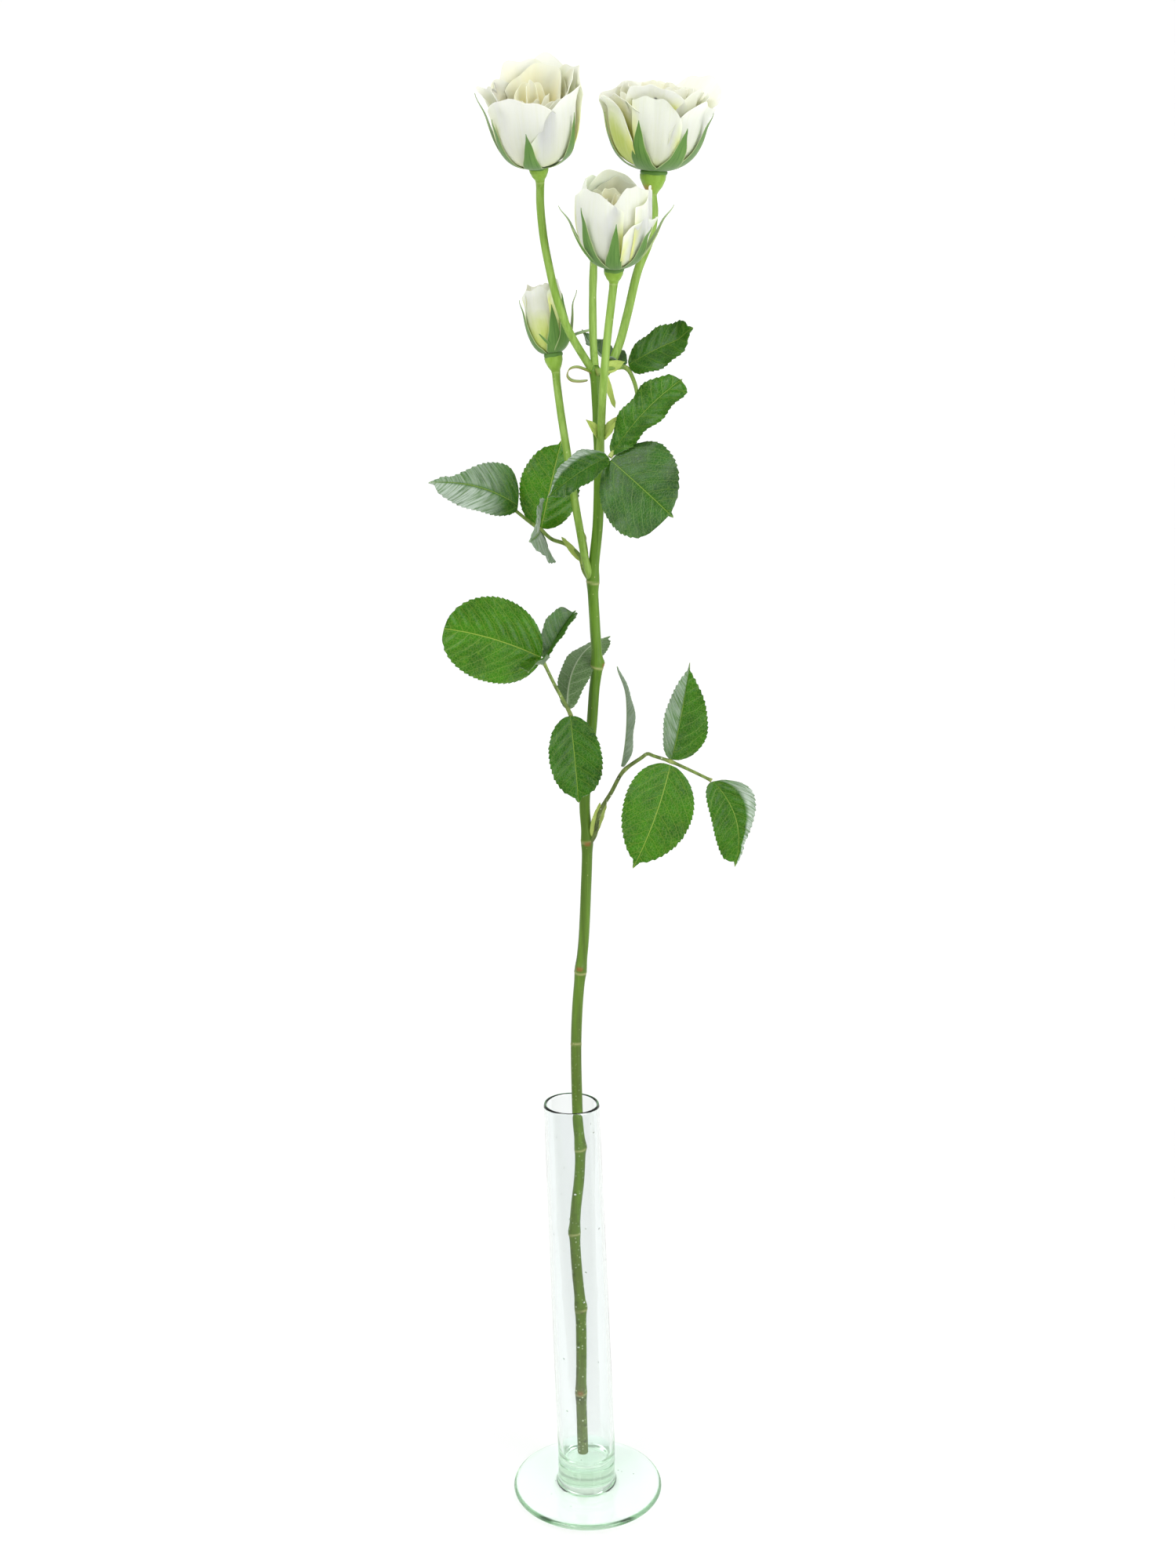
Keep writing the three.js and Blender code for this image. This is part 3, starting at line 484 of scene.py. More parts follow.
def makeVase():
    # the profile is a Catmull-Rom curve through the section; x shifts by lean * (z - start) / (top -
    # start), and outside the tube the radius grows by outOfRound * cos(angle - side)
    section = np.array([(r, 0, z) for r, z in vase["outside"] + vase["rim"] + vase["inside"]], float)
    curve, _ = splinePoints(section, vase["between"])
    curve = np.vstack([vase["underside"], curve, [(vase["innermost"], 0, vase["hollowFloor"])]])
    curve[:, 2] = np.maximum(curve[:, 2], 0)
    r, z = curve[:, 0:1], curve[:, 2:3]
    turn = fullTurn(vase["around"])
    grow = np.clip((r - vase["tubeRadius"] - 1) / (vase["footRadius"] - vase["tubeRadius"] - 1), 0, 1)
    r = r + vase["outOfRound"] * grow * np.cos(turn - math.radians(vase["outOfRoundSide"]))
    lean = vase["lean"] * np.maximum(0, z - vase["leanStart"]) / (vase["height"] - vase["leanStart"])
    points = np.stack([r * np.cos(turn) - lean, r * np.sin(turn), z + 0 * turn], -1).reshape(-1, 3)
    rows, cols = len(curve), vase["around"]
    points = np.vstack([points, [(0, 0, 0), (0, 0, vase["hollowFloor"])]])
    faces = [gridQuads(rows, cols, around=True), fanCaps(rows, cols)]
    piece = makePiece("vaseGlass", points, faces, recycledGlass, sharpAt=60)
    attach(piece, "root")
    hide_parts("vase")


makeVase()
print("vase made")


# Main stem: its middle line and thickness, and what is on it. A mark is a height, a direction in degrees
# (270 faces the viewer), how far it stands out, and its half height and half width.
stem = {
    "line": [
        (-1.8, 4.2, 15.6), (-2.3, 4.6, 32), (-2.7, 4.8, 48), (-2.5, 5.2, 67), (-2.9, 5.7, 93),
        (-4.6, 6.0, 112), (-5.7, 6.5, 132), (-5.1, 6.8, 144), (-3.4, 7.2, 160), (-3.0, 7.5, 175),
        (-4.1, 7.8, 188), (-4.5, 8.1, 200), (-4.8, 8.5, 225), (-4.0, 9.0, 246), (-2.6, 9.5, 262),
        (-1.3, 9.5, 276), (-0.3, 9.2, 300), (0.2, 9.0, 324), (-0.9, 8.5, 341), (0.6, 8.2, 360),
        (2.5, 8.0, 379), (3.5, 7.5, 393), (4.7, 7.0, 405), (3.8, 6.0, 423), (2.9, 5.0, 443),
        (5.0, 4.2, 468), (5.5, 3.4, 494), (5.2, 3.4, 508), (4.4, 3.8, 522), (3.7, 4.2, 534),
    ],
    "footRadius": 2.65, "topRadius": 2.25, "around": 40, "steps": 26, "knotHeight": 4, "scarRidge": 0.16,
    "scarHeight": 0.45, "scarTilt": 0.5, "unevenness": 0.05, "roundedFrom": 531.4, "roundedTo": 534.3,
    "roundedBy": 0.42, "scarTint": 0.5, "eyeTint": 0.85,
    "knots": [(48, 0.35), (93, 0.4), (132, 0.3), (175, 0.35), (262, 0.4), (324, 0.45), (405, 0.45),
              (443, 0.6), (508, 0.3), (534, 0.7)],
    "buds": [(49, 262, 0.5, 1.6, 32), (93, 350, 0.45, 2.2, 40), (132, 190, 0.45, 2.2, 40),
             (175, 350, 0.5, 2.2, 40), (263, 255, 0.7, 1.9, 40), (406, 355, 0.8, 1.8, 34)],
    "scars": [48, 92, 131, 174, 226, 261, 324, 404, 442],
    "eyes": [(49, 262, 1.1, 28), (263, 255, 1.0, 30), (323, 280, 1.0, 34), (405, 350, 0.9, 30)],
}


def angleFrom(turn, degrees):
    # smallest difference of two angles, in degrees
    return np.abs((np.degrees(turn) - degrees + 180) % 360 - 180)


def makeStem():
    # radius = taper from foot to top + swelling exp(-((z - knot) / knotHeight)^2) + a bump at each bud
    # + a thin ridge at each scar. It is rounded over at the top, where the stalks leave, and slightly uneven.
    # The eyes and scars are also stored as marks for the colour.
    line, tangent = splinePoints(stem["line"], stem["steps"])
    share = np.linspace(0, 1, len(line))[:, None]
    z = line[:, 2:3]
    # ring angle 0 points to +y, and the angle grows towards -x
    turn = fullTurn(stem["around"]) + np.pi / 2
    swelling = [swell * np.exp(-((z - at) / stem["knotHeight"]) ** 2) for at, swell in stem["knots"]]
    taper = stem["footRadius"] + (stem["topRadius"] - stem["footRadius"]) * share
    radius = taper + np.max(swelling, axis=0) + 0 * turn
    for at, side, out, tall, wide in stem["buds"]:
        radius = radius + out * np.exp(-((z - at) / tall) ** 2 - (angleFrom(turn, side) / wide) ** 2)
    scar = np.max([np.exp(-((z - at + stem["scarTilt"] * np.sin(turn + at)) / stem["scarHeight"]) ** 2)
                   for at in stem["scars"]], axis=0)
    radius = radius + stem["scarRidge"] * scar
    radius = radius * (1 - stem["roundedBy"] * smooth(stem["roundedFrom"], stem["roundedTo"], z))
    small = stem["unevenness"]
    radius = radius + small * np.sin(5 * turn + z / 23) + small * np.sin(3 * turn - z / 31)
    eye = np.max([np.exp(-((z - at) / tall) ** 4 - (angleFrom(turn, side) / wide) ** 4)
                  for at, side, tall, wide in stem["eyes"]], axis=0)
    points, quads, caps = tubeParts(line, tangent, radius, stem["around"])
    marks = {"scar": np.append(scar * stem["scarTint"], [0.8, 0]),
             "eye": np.append(eye * stem["eyeTint"], [0, 0])}
    piece = makePiece("mainStem", points, [quads, caps], roseBark, marks=marks)
    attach(piece, "root")
    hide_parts("main_stem_lower", "main_stem_upper")


makeStem()
print("stem made")


def bezier(pairs, t):
    # cubic through radius and height pairs; also its slope
    s, columns = 1 - t, np.array(pairs, float).T
    value = [s ** 3 * a + 3 * s * s * t * b + 3 * s * t * t * c + t ** 3 * d for a, b, c, d in columns]
    slope = [3 * s * s * (b - a) + 6 * s * t * (c - b) + 3 * t * t * (d - c) for a, b, c, d in columns]
    return *value, *slope


def flowerFrame(spec):
    # the bloom's axis leans right and to the viewer; points turn by the shortest arc from +Z to it
    right, front = math.radians(spec["leanRight"]), math.radians(spec["leanFront"])
    up = unit(np.array([math.sin(right), -math.sin(front), math.cos(front) * math.cos(right)]))
    axis = np.cross([0, 0, 1], up)
    s, c = np.linalg.norm(axis), up[2]
    x, y, z = axis / s
    k = np.array([[0, -z, y], [z, 0, -x], [-y, x, 0]])
    return np.array(spec["at"], float), np.eye(3) + s * k + (1 - c) * (k @ k), up


def polar(r, angle, z):
    return np.stack([r * np.cos(angle), r * np.sin(angle), z + 0 * r], -1)


def petalRow(roll, start, reach, drop, half, **more):
    # one petal: how far its rim rolls out in degrees, where on the cup that begins, how high it reaches,
    # how much lower its two corners are, and half its width in degrees; more replaces what petal["plain"]
    # says
    return {"roll": roll, "start": start, "reach": reach, "drop": drop, "half": half, **more}


# Flowers: where each sits, how it leans, the cup its outer petals follow (radius and height pairs), its hip
# (radius and height), and the line of its stalk. Round a flower 0 is the right, 90 the back and 270 the
# viewer's side. A sepal is its direction, its reach, and how far its tip stands off. A lobe is the two
# directions, heights and lifts that it runs between, and its width. A ring of inner petals is: petals,
# radius, height, how far it closes at the top, half angle, roll, first direction. The petals between the
# rings have a cup and a direction of their own.
flowers = {
    "left_bloom": {
        "at": (-19.7, -2, 614), "leanRight": -4, "leanFront": 25,
        "cup": [(2.4, 2.3), (14.6, 1.5), (18.2, 11), (17.8, 34.5)], "firstPetal": 252, "lap": -0.8,
        "hip": (4.1, 5.5), "stalkRadius": 1.7, "sepalWidth": 8, "backRise": 0.08,
        "stalk": [(3.7, 4.2, 531), (0.2, 3.8, 536), (-7.6, -0.5, 549), (-12.5, -1.5, 562),
                  (-15.7, 0.5, 575), (-18, 2.4, 587), (-19.3, 2.8, 600)],
        "sepals": [(260, 0.8, 4), (330, 0.84, 0.3), (60, 0.75, 2), (172, 0.96, 2.4), (212, 0.84, 0.6)],
        "lobes": [],
        "rings": [(4, 14.2, 33, 1.04, 54, 34, 96), (4, 13, 32.5, 1.02, 58, 38, 148),
                  (3, 10.4, 31.5, 1.0, 76, 30, 78), (3, 7.4, 31, 0.8, 82, 12, 215),
                  (2, 4.2, 32.5, 0.45, 120, 2, 300)],
        "outer": [
            petalRow(30, 0.86, 0.97, (0.1, 0.1), 48, ruffle=0.6, curl=0.1),
            petalRow(26, 0.84, 0.99, (0.44, 0.04), 60, corner=1.35, shift=-8, curl=0.5),
            petalRow(16, 0.85, 1.03, (0.1, 0.2), 50),
            petalRow(26, 0.85, 1.04, (0.2, 0.3), 64, peak=0.02, shift=-28),
            petalRow(52, 0.86, 0.98, (0.04, 0.16), 36, span=0.1, corner=3, curl=0.1, shift=-14),
        ],
    },
    "right_bloom": {
        "at": (28.2, 10, 613), "leanRight": 3, "leanFront": 10,
        "cup": [(2.4, 2.3), (17.5, 2.8), (21.5, 15), (20.5, 34)], "firstPetal": 262, "lap": 0.8,
        "hip": (5.6, 7.5), "brown": 215, "stalkRadius": 1.85, "sepalWidth": 9.5, "backRise": 0.03,
        "stalk": [(3.7, 4.2, 529), (8.6, 6.6, 532), (13.6, 8.6, 542), (17.6, 10.6, 556), (22, 12, 574),
                  (27, 12.2, 587), (28.6, 12.2, 598)],
        "sepals": [(247, 0.76, 0.5), (302, 0.72, 1.2), (336, 0.85, 1.6), (80, 0.8, 2), (184, 0.8, 0.1)],
        "lobes": [],
        "rings": [(5, 15.8, 34.0, 1.02, 50, 40, 56), (5, 13.6, 34.5, 0.98, 54, 34, 90),
                  (4, 11.2, 34.5, 0.94, 62, 26, 250), (4, 8.6, 34, 0.86, 70, 16, 210),
                  (3, 6.0, 33.5, 0.7, 85, 8, 280), (2, 3.3, 33, 0.6, 120, 4, 200)],
        "outer": [
            petalRow(16, 0.88, 0.93, (0.04, 0.24), 30, corner=2.4, shift=6, curl=0.3, ruffle=0.6),
            petalRow(34, 0.74, 0.9, (0.26, 0.1), 50, ruffle=1.2),
            petalRow(66, 0.86, 1.15, (0.2, 0.1), 40, span=0.14),
            petalRow(34, 0.8, 1.03, (0.14, 0.14), 54),
            petalRow(60, 0.8, 0.93, (0.04, 0.4), 50, span=0.12, ruffle=1.2, fresh=6),
        ],
        "between": [
            petalRow(50, 0.82, 0.97, (0.16, 0.1), 40, at=6, cup=[(2, 3), (14, 4), (18.5, 16), (18.5, 34)],
                     span=0.16),
            petalRow(70, 0.84, 1.02, (0.16, 0.04), 34, at=258,
                     cup=[(2, 3), (13, 4), (17.5, 16), (15.5, 36)], span=0.12, curl=0.2, fresh=0.8),
            petalRow(60, 0.76, 0.93, (0.1, 0.1), 34, at=214, cup=[(2, 3), (13, 4), (17.5, 16), (17, 35)],
                     curl=0.2, fresh=6),
        ],
    },
    "middle_bloom": {
        "at": (11.4, -10, 572.5), "leanRight": 1, "leanFront": 20,
        "cup": [(2.2, 2.3), (13, 2.8), (18.5, 18), (13.5, 38)], "firstPetal": 300, "lap": -0.7,
        "hip": (4.1, 5), "stalkRadius": 1.7, "sepalWidth": 7.4, "backRise": 0.05,
        "stalk": [(5.4, 3.4, 493), (6.2, -1, 506), (6.8, -5, 520), (7.7, -7, 533), (9.2, -7.6, 549),
                  (10.6, -7.4, 561)],
        "sepals": [(268, 0.74, 0.5), (226, 0.84, 1.4), (168, 0.78, 5), (318, 0.72, 2), (12, 0.8, 6)],
        "lobes": [(228, 208, 0.34, 0.66, 2.4, 4.5, 1.6), (318, 334, 0.4, 0.62, 2.6, 4.2, 1.8)],
        "rings": [(4, 13.8, 30.5, 0.84, 66, -8, 340), (4, 11.4, 29.5, 0.78, 66, -6, 40),
                  (3, 9.0, 29, 0.66, 80, -4, 230), (3, 6.4, 28.5, 0.6, 85, 0, 300),
                  (2, 3.6, 28.5, 0.5, 120, 0, 250)],
        "outer": [
            petalRow(26, 0.62, 0.74, (0.12, 0.02), 44, corner=2, shift=24, curl=0.9),
            petalRow(10, 0.78, 0.93, (0.1, 0.5), 42, corner=1.8, shift=-32, curl=0.2),
            petalRow(-22, 0.6, 1.01, (0.2, 0.16), 76, corner=3, shift=14, ruffle=0.4, curl=0, cream=0.1),
            petalRow(-12, 0.7, 0.98, (0.14, 0.1), 54, ruffle=0.5, curl=0.2, cream=0.1),
            petalRow(0, 0.8, 0.93, (0.08, 0.13), 54, corner=2.2, ruffle=0.6, curl=0.3),
        ],
        "between": [
            petalRow(8, 0.8, 0.98, (0.24, 0.04), 36, at=288,
                     cup=[(2, 3), (12, 4), (16.4, 18), (13.2, 38)], corner=1.3, ruffle=0.5),
            petalRow(6, 0.75, 0.93, (0.14, 0.14), 36, at=350, cup=[(2, 3), (12, 4), (16, 18), (13, 38)],
                     ruffle=0.5),
        ],
    },
    "bud": {
        "at": (-14.3, 14, 538.5), "leanRight": -9, "leanFront": 2,
        "cup": [(2, 2.3), (8.5, 2.6), (10.5, 15), (6.5, 30)], "firstPetal": 240, "lap": -0.5,
        "hip": (4, 6.5), "stalkRadius": 1.7, "sepalWidth": 7.6, "backRise": 0,
        "stalk": [(2.9, 5, 441.5), (0, 3.2, 450), (-3.4, 3, 468), (-5.8, 4, 482), (-8.2, 6.2, 497),
                  (-11, 10, 514), (-12.9, 13, 528)],
        "sepals": [(283, 0.8, 0.4), (196, 0.9, 1.2), (318, 0.9, 1.2), (12, 0.92, 4), (100, 0.85, 1.5)],
        "lobes": [(266, 246, 0.3, 0.5, 1.6, 2.6, 1.4), (18, 6, 0.42, 0.5, 3.5, 12, 2.2)],
        "rings": [(3, 7.8, 28.2, 0.6, 95, 4, 190), (3, 5.4, 27.5, 0.55, 100, 2, 250),
                  (2, 3.2, 27, 0.5, 130, 0, 300)],
        "outer": [
            petalRow(30, 0.85, 0.98, (0.1, 0.2), 74, fresh=3, ruffle=0.8),
            petalRow(10, 0.8, 1.03, (0.14, 0.14), 80, fresh=3, ruffle=0.8),
            petalRow(12, 0.82, 1.02, (0.12, 0.1), 80, fresh=3, ruffle=0.8),
        ],
    },
}
petal = {"thickness": 0.36, "rimThickness": 0.16, "rows": 38, "columns": 31, "wave": 0.55, "crease": 0.22,
         "sharpAt": 70, "plain": {"corner": 2.6, "peak": 0, "curl": 0.6, "ruffle": 1, "shift": 0, "span": 0,
                                  "fresh": 0, "cream": 0.6}}
dice = np.random.default_rng(14)


def petalParts(cup, azimuth, wanted, lap, depth):
    # u runs from foot to rim and v from edge to edge. Height on the cup is u * reach * (1 - drop
    # |v|^corner), with its own drop at each side. The cup's slope is turned outwards by roll *
    # smooth(start, reach, height) and added up again step by step. The direction is azimuth + half * v *
    # (0.35 + 0.65 sin(90 deg u / 0.6)). One edge laps outside its neighbour, both margins curl outwards,
    # and sine waves crease the blade and ruffle the rim.
    own = {**petal["plain"], **wanted}
    u, v = unitGrid(petal["rows"], petal["columns"])
    phase = dice.uniform(0, 2 * np.pi, 5)
    uneven = 1 + own["ruffle"] * u * (0.02 * np.sin(3.3 * v + phase[0]) + 0.012 * np.sin(9.1 * v + phase[3]))
    drop = np.where(v < 0, own["drop"][0], own["drop"][1]) * np.abs(v) ** own["corner"]
    t = u * own["reach"] * (uneven - drop + own["peak"] * np.exp(-(v / 0.22) ** 2))
    r, z, dr, dz = bezier(cup, t)
    slope = np.arctan2(dz, dr)
    stepLength = np.hypot(np.diff(r, axis=0), np.diff(z, axis=0))
    bent = own["start"] + (own["span"] or max(own["reach"] - own["start"], 0.16))
    turned = smooth(own["start"], bent, t + 0.1 * v * v)
    turned = np.radians(own["roll"]) * turned * (0.85 + 0.15 * np.cos(2.2 * v + phase[1]))
    angle = slope - turned
    angle = (angle[1:] + angle[:-1]) / 2
    r = np.vstack([r[:1], r[:1] + np.cumsum(stepLength * np.cos(angle), axis=0)])
    z = np.vstack([z[:1], z[:1] + np.cumsum(stepLength * np.sin(angle), axis=0)])
    size = min(1, r.max() / 12)
    waves = np.sin(4.3 * v + phase[1]) + 0.7 * np.sin(8.7 * v + phase[2])
    creases = petal["crease"] * np.sin(11 * v + 3 * u + phase[4])
    ruffle = petal["wave"] * own["ruffle"] * u ** 3 * waves + creases * smooth(0.15, 0.6, u) * (1 - 0.4 * u)
    margin = np.clip((np.abs(v) - 0.62) / 0.38, 0, 1) ** 2 * smooth(0.35, 0.85, u)
    r = r + lap * v * np.minimum(1, 0.3 + 3 * u) + ruffle * size + own["curl"] * 1.5 * margin * size
    r = np.maximum(r, 0.35)
    widening = 0.35 + 0.65 * np.sin(np.pi / 2 * np.minimum(1, u / 0.6))
    around = np.radians(azimuth + own["shift"] + own["half"] * widening * v)
    surface = polar(r, around, z)
    thickness = petal["thickness"] + (petal["rimThickness"] - petal["thickness"]) * u ** 1.5 + 0 * v
    # a fresh petal keeps the green of its foot further up
    uv = np.stack([0.5 + v / 2 * widening, u ** (1 + own["fresh"]) + 0 * v], -1)
    points, faces, uv, outer = sheetParts(surface, thickness, uv)
    # how creamy and how shaded: more inside the flower, and more on the inner face; the cream is partly the
    # petal's own colour and partly painted shade deep in the flower
    height = np.tile((u + 0 * v).ravel(), 2)
    inner = np.clip(depth * (1.15 - 0.5 * height) + own["cream"] * (1 - outer), 0, 1)
    return points, faces, uv, inner


def makePetals(name, spec):
    at, turn, _ = flowerFrame(spec)
    for k, outer in enumerate(spec["outer"]):
        azimuth = spec["firstPetal"] + 360 * k / len(spec["outer"])
        points, faces, uv, inner = petalParts(spec["cup"], azimuth, outer, spec["lap"], 0)
        placed = points @ turn.T + at
        node = "petal_" + name + "_" + str(k + 1)
        piece = makePiece(node + "_skin", placed, [faces], rosePetal, uv, {"inner": inner}, petal["sharpAt"])
        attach(piece, "root")
        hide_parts(node)


heart = {"foot": 2.7, "footStep": 0.35, "footRadius": 1.6, "stray": 9, "start": 0.86, "lap": 0.06,
         "curl": 0.3, "ruffle": 0.7, "creamOutside": 0.15, "creamGain": 0.75, "creamBetween": 0.12}


def makeHeart(name, spec):
    # rings of smaller petals, one inside the other; ring k's cup is narrower and stands a little higher at
    # its foot, and each petal strays a little in direction, roll, reach, corners and width
    at, turn, _ = flowerFrame(spec)
    between = spec.get("between", [])
    parts = [petalParts(each["cup"], each["at"], each, 0, heart["creamBetween"]) for each in between]
    for k, (count, radius, height, closing, half, roll, first) in enumerate(spec["rings"]):
        foot = heart["foot"] + heart["footStep"] * k
        cup = [(heart["footRadius"], foot), (radius * 0.62, foot + 0.6), (radius, foot + height * 0.3),
               (radius * closing, height)]
        # deeper rings get more of the creamy colour, partly painted shade
        depth = heart["creamOutside"] + heart["creamGain"] * (k + 1) / len(spec["rings"])
        for i in range(count):
            azimuth = first + 360 * i / count + dice.uniform(-heart["stray"], heart["stray"])
            rise = 1 + spec["backRise"] * math.sin(math.radians(azimuth))
            shape = petalRow(roll * dice.uniform(0.7, 1.25), heart["start"], rise * dice.uniform(0.96, 1.03),
                             dice.uniform(0.1, 0.22, 2), half * dice.uniform(0.92, 1.06),
                             curl=heart["curl"], ruffle=heart["ruffle"])
            parts.append(petalParts(cup, azimuth, shape, heart["lap"] * radius, depth))
    points, faces, uv, inner = joinParts(parts)
    placed = points @ turn.T + at
    piece = makePiece("petals_in_" + name, placed, [faces], rosePetal, uv, {"inner": inner}, petal["sharpAt"])
    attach(piece, "root")
    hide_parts("heart_" + name)


sepal = {"thickness": 0.5, "lift": 1, "rows": 40, "columns": 13, "widest": 38, "lobeRows": 16,
         "lobeColumns": 5, "lobeThickness": 0.35, "ringShare": 1.02, "ringBottom": -0.3, "ringTop": 1.5,
         "ringSides": 48}


def sepalParts(cup, azimuth, reach, liftOff, width):
    # outside the cup by lift, plus liftOff * u^3; half width = width / 2 * (1 - u)^1.15 * (1 + 1.6 u), the
    # tip thin and hooked outwards, and the margin turned a little back
    u, v = unitGrid(sepal["rows"], sepal["columns"])
    r, z, dr, dz = bezier(cup, u * reach)
    size = np.hypot(dr, dz)
    hook = min(2.2, 0.3 + 0.9 * liftOff) * smooth(0.75, 1, u) ** 2
    r = r + sepal["lift"] * dz / size + liftOff * u ** 3 + hook
    z = z - sepal["lift"] * dr / size - 0.4 * hook
    half = width / 2 * (1 - u) ** 1.15 * (1 + 1.6 * u) + 0.12
    phase = dice.uniform(0, 6)
    fringe = 1 + 0.05 * np.sin(19 * u + phase) * smooth(0.6, 1, np.abs(v))
    around = np.radians(azimuth) + np.minimum(half * fringe / r, math.radians(sepal["widest"])) * v
    around = around + 0.05 * np.sin(3 * u + phase) * u
    r = r + 0.5 * v * v * np.sin(np.pi * u) * (0.4 + 0.6 * np.sin(phase))
    uv = np.stack([0.5 + v / 2 + 0 * u, u + 0 * v], -1)
    thick = sepal["thickness"] * (1 - 0.6 * np.abs(v) ** 2) * (1 - 0.4 * u)
    return sheetParts(polar(r, around, z), thick, uv)


def lobeParts(cup, fromAngle, toAngle, fromHeight, toHeight, fromLift, toLift, width):
    # a thin side lobe of a sepal: direction, height and lift all run from one value to another
    u, v = unitGrid(sepal["lobeRows"], sepal["lobeColumns"])
    r, z, dr, dz = bezier(cup, fromHeight + (toHeight - fromHeight) * u)
    size = np.hypot(dr, dz)
    lift = fromLift + (toLift - fromLift) * u ** 1.5
    half = width / 2 * (1 - u) ** 0.8 * (0.5 + 1.2 * u) + 0.1
    r = r + lift * dz / size
    z = z - lift * dr / size + 0.6 * half * v
    around = np.radians(fromAngle + (toAngle - fromAngle) * u) + 0.8 * half / r * v
    uv = np.stack([0.5 + v / 2 + 0 * u, u + 0 * v], -1)
    return sheetParts(polar(r + 0 * v, around, z), sepal["lobeThickness"], uv)


def makeCalyx(name, spec):
    at, turn, _ = flowerFrame(spec)
    parts = [sepalParts(spec["cup"], *each, spec["sepalWidth"]) for each in spec["sepals"]]
    parts += [lobeParts(spec["cup"], *each) for each in spec["lobes"]]
    # the ring they grow on: a low cushion, radius = the hip's * (1 + small bulge)
    bottom, top, sides = sepal["ringBottom"], sepal["ringTop"], sepal["ringSides"]
    share = np.linspace(0, 1, 9)[:, None]
    angle = fullTurn(sides)
    ringR = spec["hip"][0] * sepal["ringShare"] * (0.94 + 0.08 * np.sin(np.pi * share))
    ringR = ringR * (1 + 0.03 * np.cos(5 * angle))
    ringR = np.vstack([0.02 + 0 * angle, ringR, 0.02 + 0 * angle])
    ringZ = np.vstack([[[bottom]], bottom + (top - bottom) * share, [[top]]])
    ring = polar(ringR, angle, ringZ).reshape(-1, 3)
    ringFaces = gridQuads(len(ringR), sides, around=True)
    parts.append((ring, ringFaces, np.full((len(ring), 2), 0.5), np.ones(len(ring))))
    points, faces, uv, outer = joinParts(parts)
    piece = makePiece("sepals_" + name, points @ turn.T + at, [faces], roseSepal, uv, {"outer": outer})
    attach(piece, "root")
    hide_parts("calyx_" + name)


# the hip's outline is pairs: how far below its top, as a share of its height, and its share of the hip's
# radius
flowerStalk = {"outline": [(0, 0.96), (0.08, 1), (0.3, 0.96), (0.66, 0.74), (0.92, 0.5)], "neckAt": 1.15,
               "neck": 1.06, "steps": 22, "around": 36, "footSwell": 0.35, "ringTint": 0.2, "brownTint": 0.75}


def makeFlowerStalk(name, spec):
    # one tube along the stalk and up through the hip: the radius follows the hip's outline near the flower,
    # with a slight five-sided swelling, and a thickened foot where the stalk leaves the stem
    at, _, up = flowerFrame(spec)
    hipRadius, hipHeight = spec["hip"]
    thin = spec["stalkRadius"]
    route = [*spec["stalk"], at - up * (hipHeight + 0.6), at - up * hipHeight * 0.5, at]
    line, tangent = splinePoints(route, flowerStalk["steps"])
    below = -(line - at) @ up
    neckAt, sides = flowerStalk["neckAt"], flowerStalk["around"]
    outline = np.array(flowerStalk["outline"] + [(neckAt, thin * flowerStalk["neck"] / hipRadius)])
    hipShape = np.interp(below, outline[:, 0] * hipHeight, outline[:, 1] * hipRadius)
    near = smooth(hipHeight * 1.6, hipHeight * neckAt, below)
    radius = np.where(below < hipHeight * neckAt, hipShape, thin + 0.1 * near)
    share = np.linspace(0, 1, len(line))
    radius = radius + flowerStalk["footSwell"] * np.exp(-(share / 0.05) ** 2)
    turn = fullTurn(sides)
    swell = smooth(hipHeight, hipHeight * 0.3, below)[:, None]
    fiveSided = 1 + 0.02 * swell * np.cos(5 * turn)
    radius = radius[:, None] * (fiveSided + 0.02 * np.sin(3 * turn + 9 * share[:, None]))
    points, quads, caps = tubeParts(line, tangent, radius, sides)
    scar = np.exp(-((below - hipHeight * 1.12) / 0.35) ** 2)[:, None] * flowerStalk["ringTint"] + 0 * turn
    # the hip is fresher green, browned low down on the side that spec["brown"] gives
    hip = smooth(hipHeight * 1.2, hipHeight * 0.8, below)[:, None]
    low = np.exp(-((below - hipHeight * 0.8) / (hipHeight * 0.2)) ** 2)[:, None]
    eye = low * smooth(75, 20, angleFrom(turn + np.pi / 2, spec.get("brown", 0)))
    eye = flowerStalk["brownTint"] * eye * ("brown" in spec)
    marks = {"scar": np.append(scar, [0, 0]), "eye": np.append(eye, [0, 0]),
             "fresh": np.append(hip * 0.5 + 0 * turn, [0, 0.5])}
    piece = makePiece("stalk_of_" + name, points, [quads, caps], youngStalk, marks=marks)
    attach(piece, "root")
    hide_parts("stalk_" + name)


for flowerName, flowerSpec in flowers.items():
    makeFlowerStalk(flowerName, flowerSpec)
    makeCalyx(flowerName, flowerSpec)
    makePetals(flowerName, flowerSpec)
    makeHeart(flowerName, flowerSpec)
    print(flowerName, "made")

# What is left of the first flower, pinched out long before the others opened: a short stalk with a dry end
stub = {"line": [(3.7, 4.2, 534), (3, 7, 543), (2.7, 9, 562), (3, 10, 574), (3.4, 10.6, 586)], "radius": 1.65,
        "dryFrom": 0.9, "dryTint": 0.8, "shrunk": 0.12, "wobble": 0.1, "steps": 24, "around": 28}


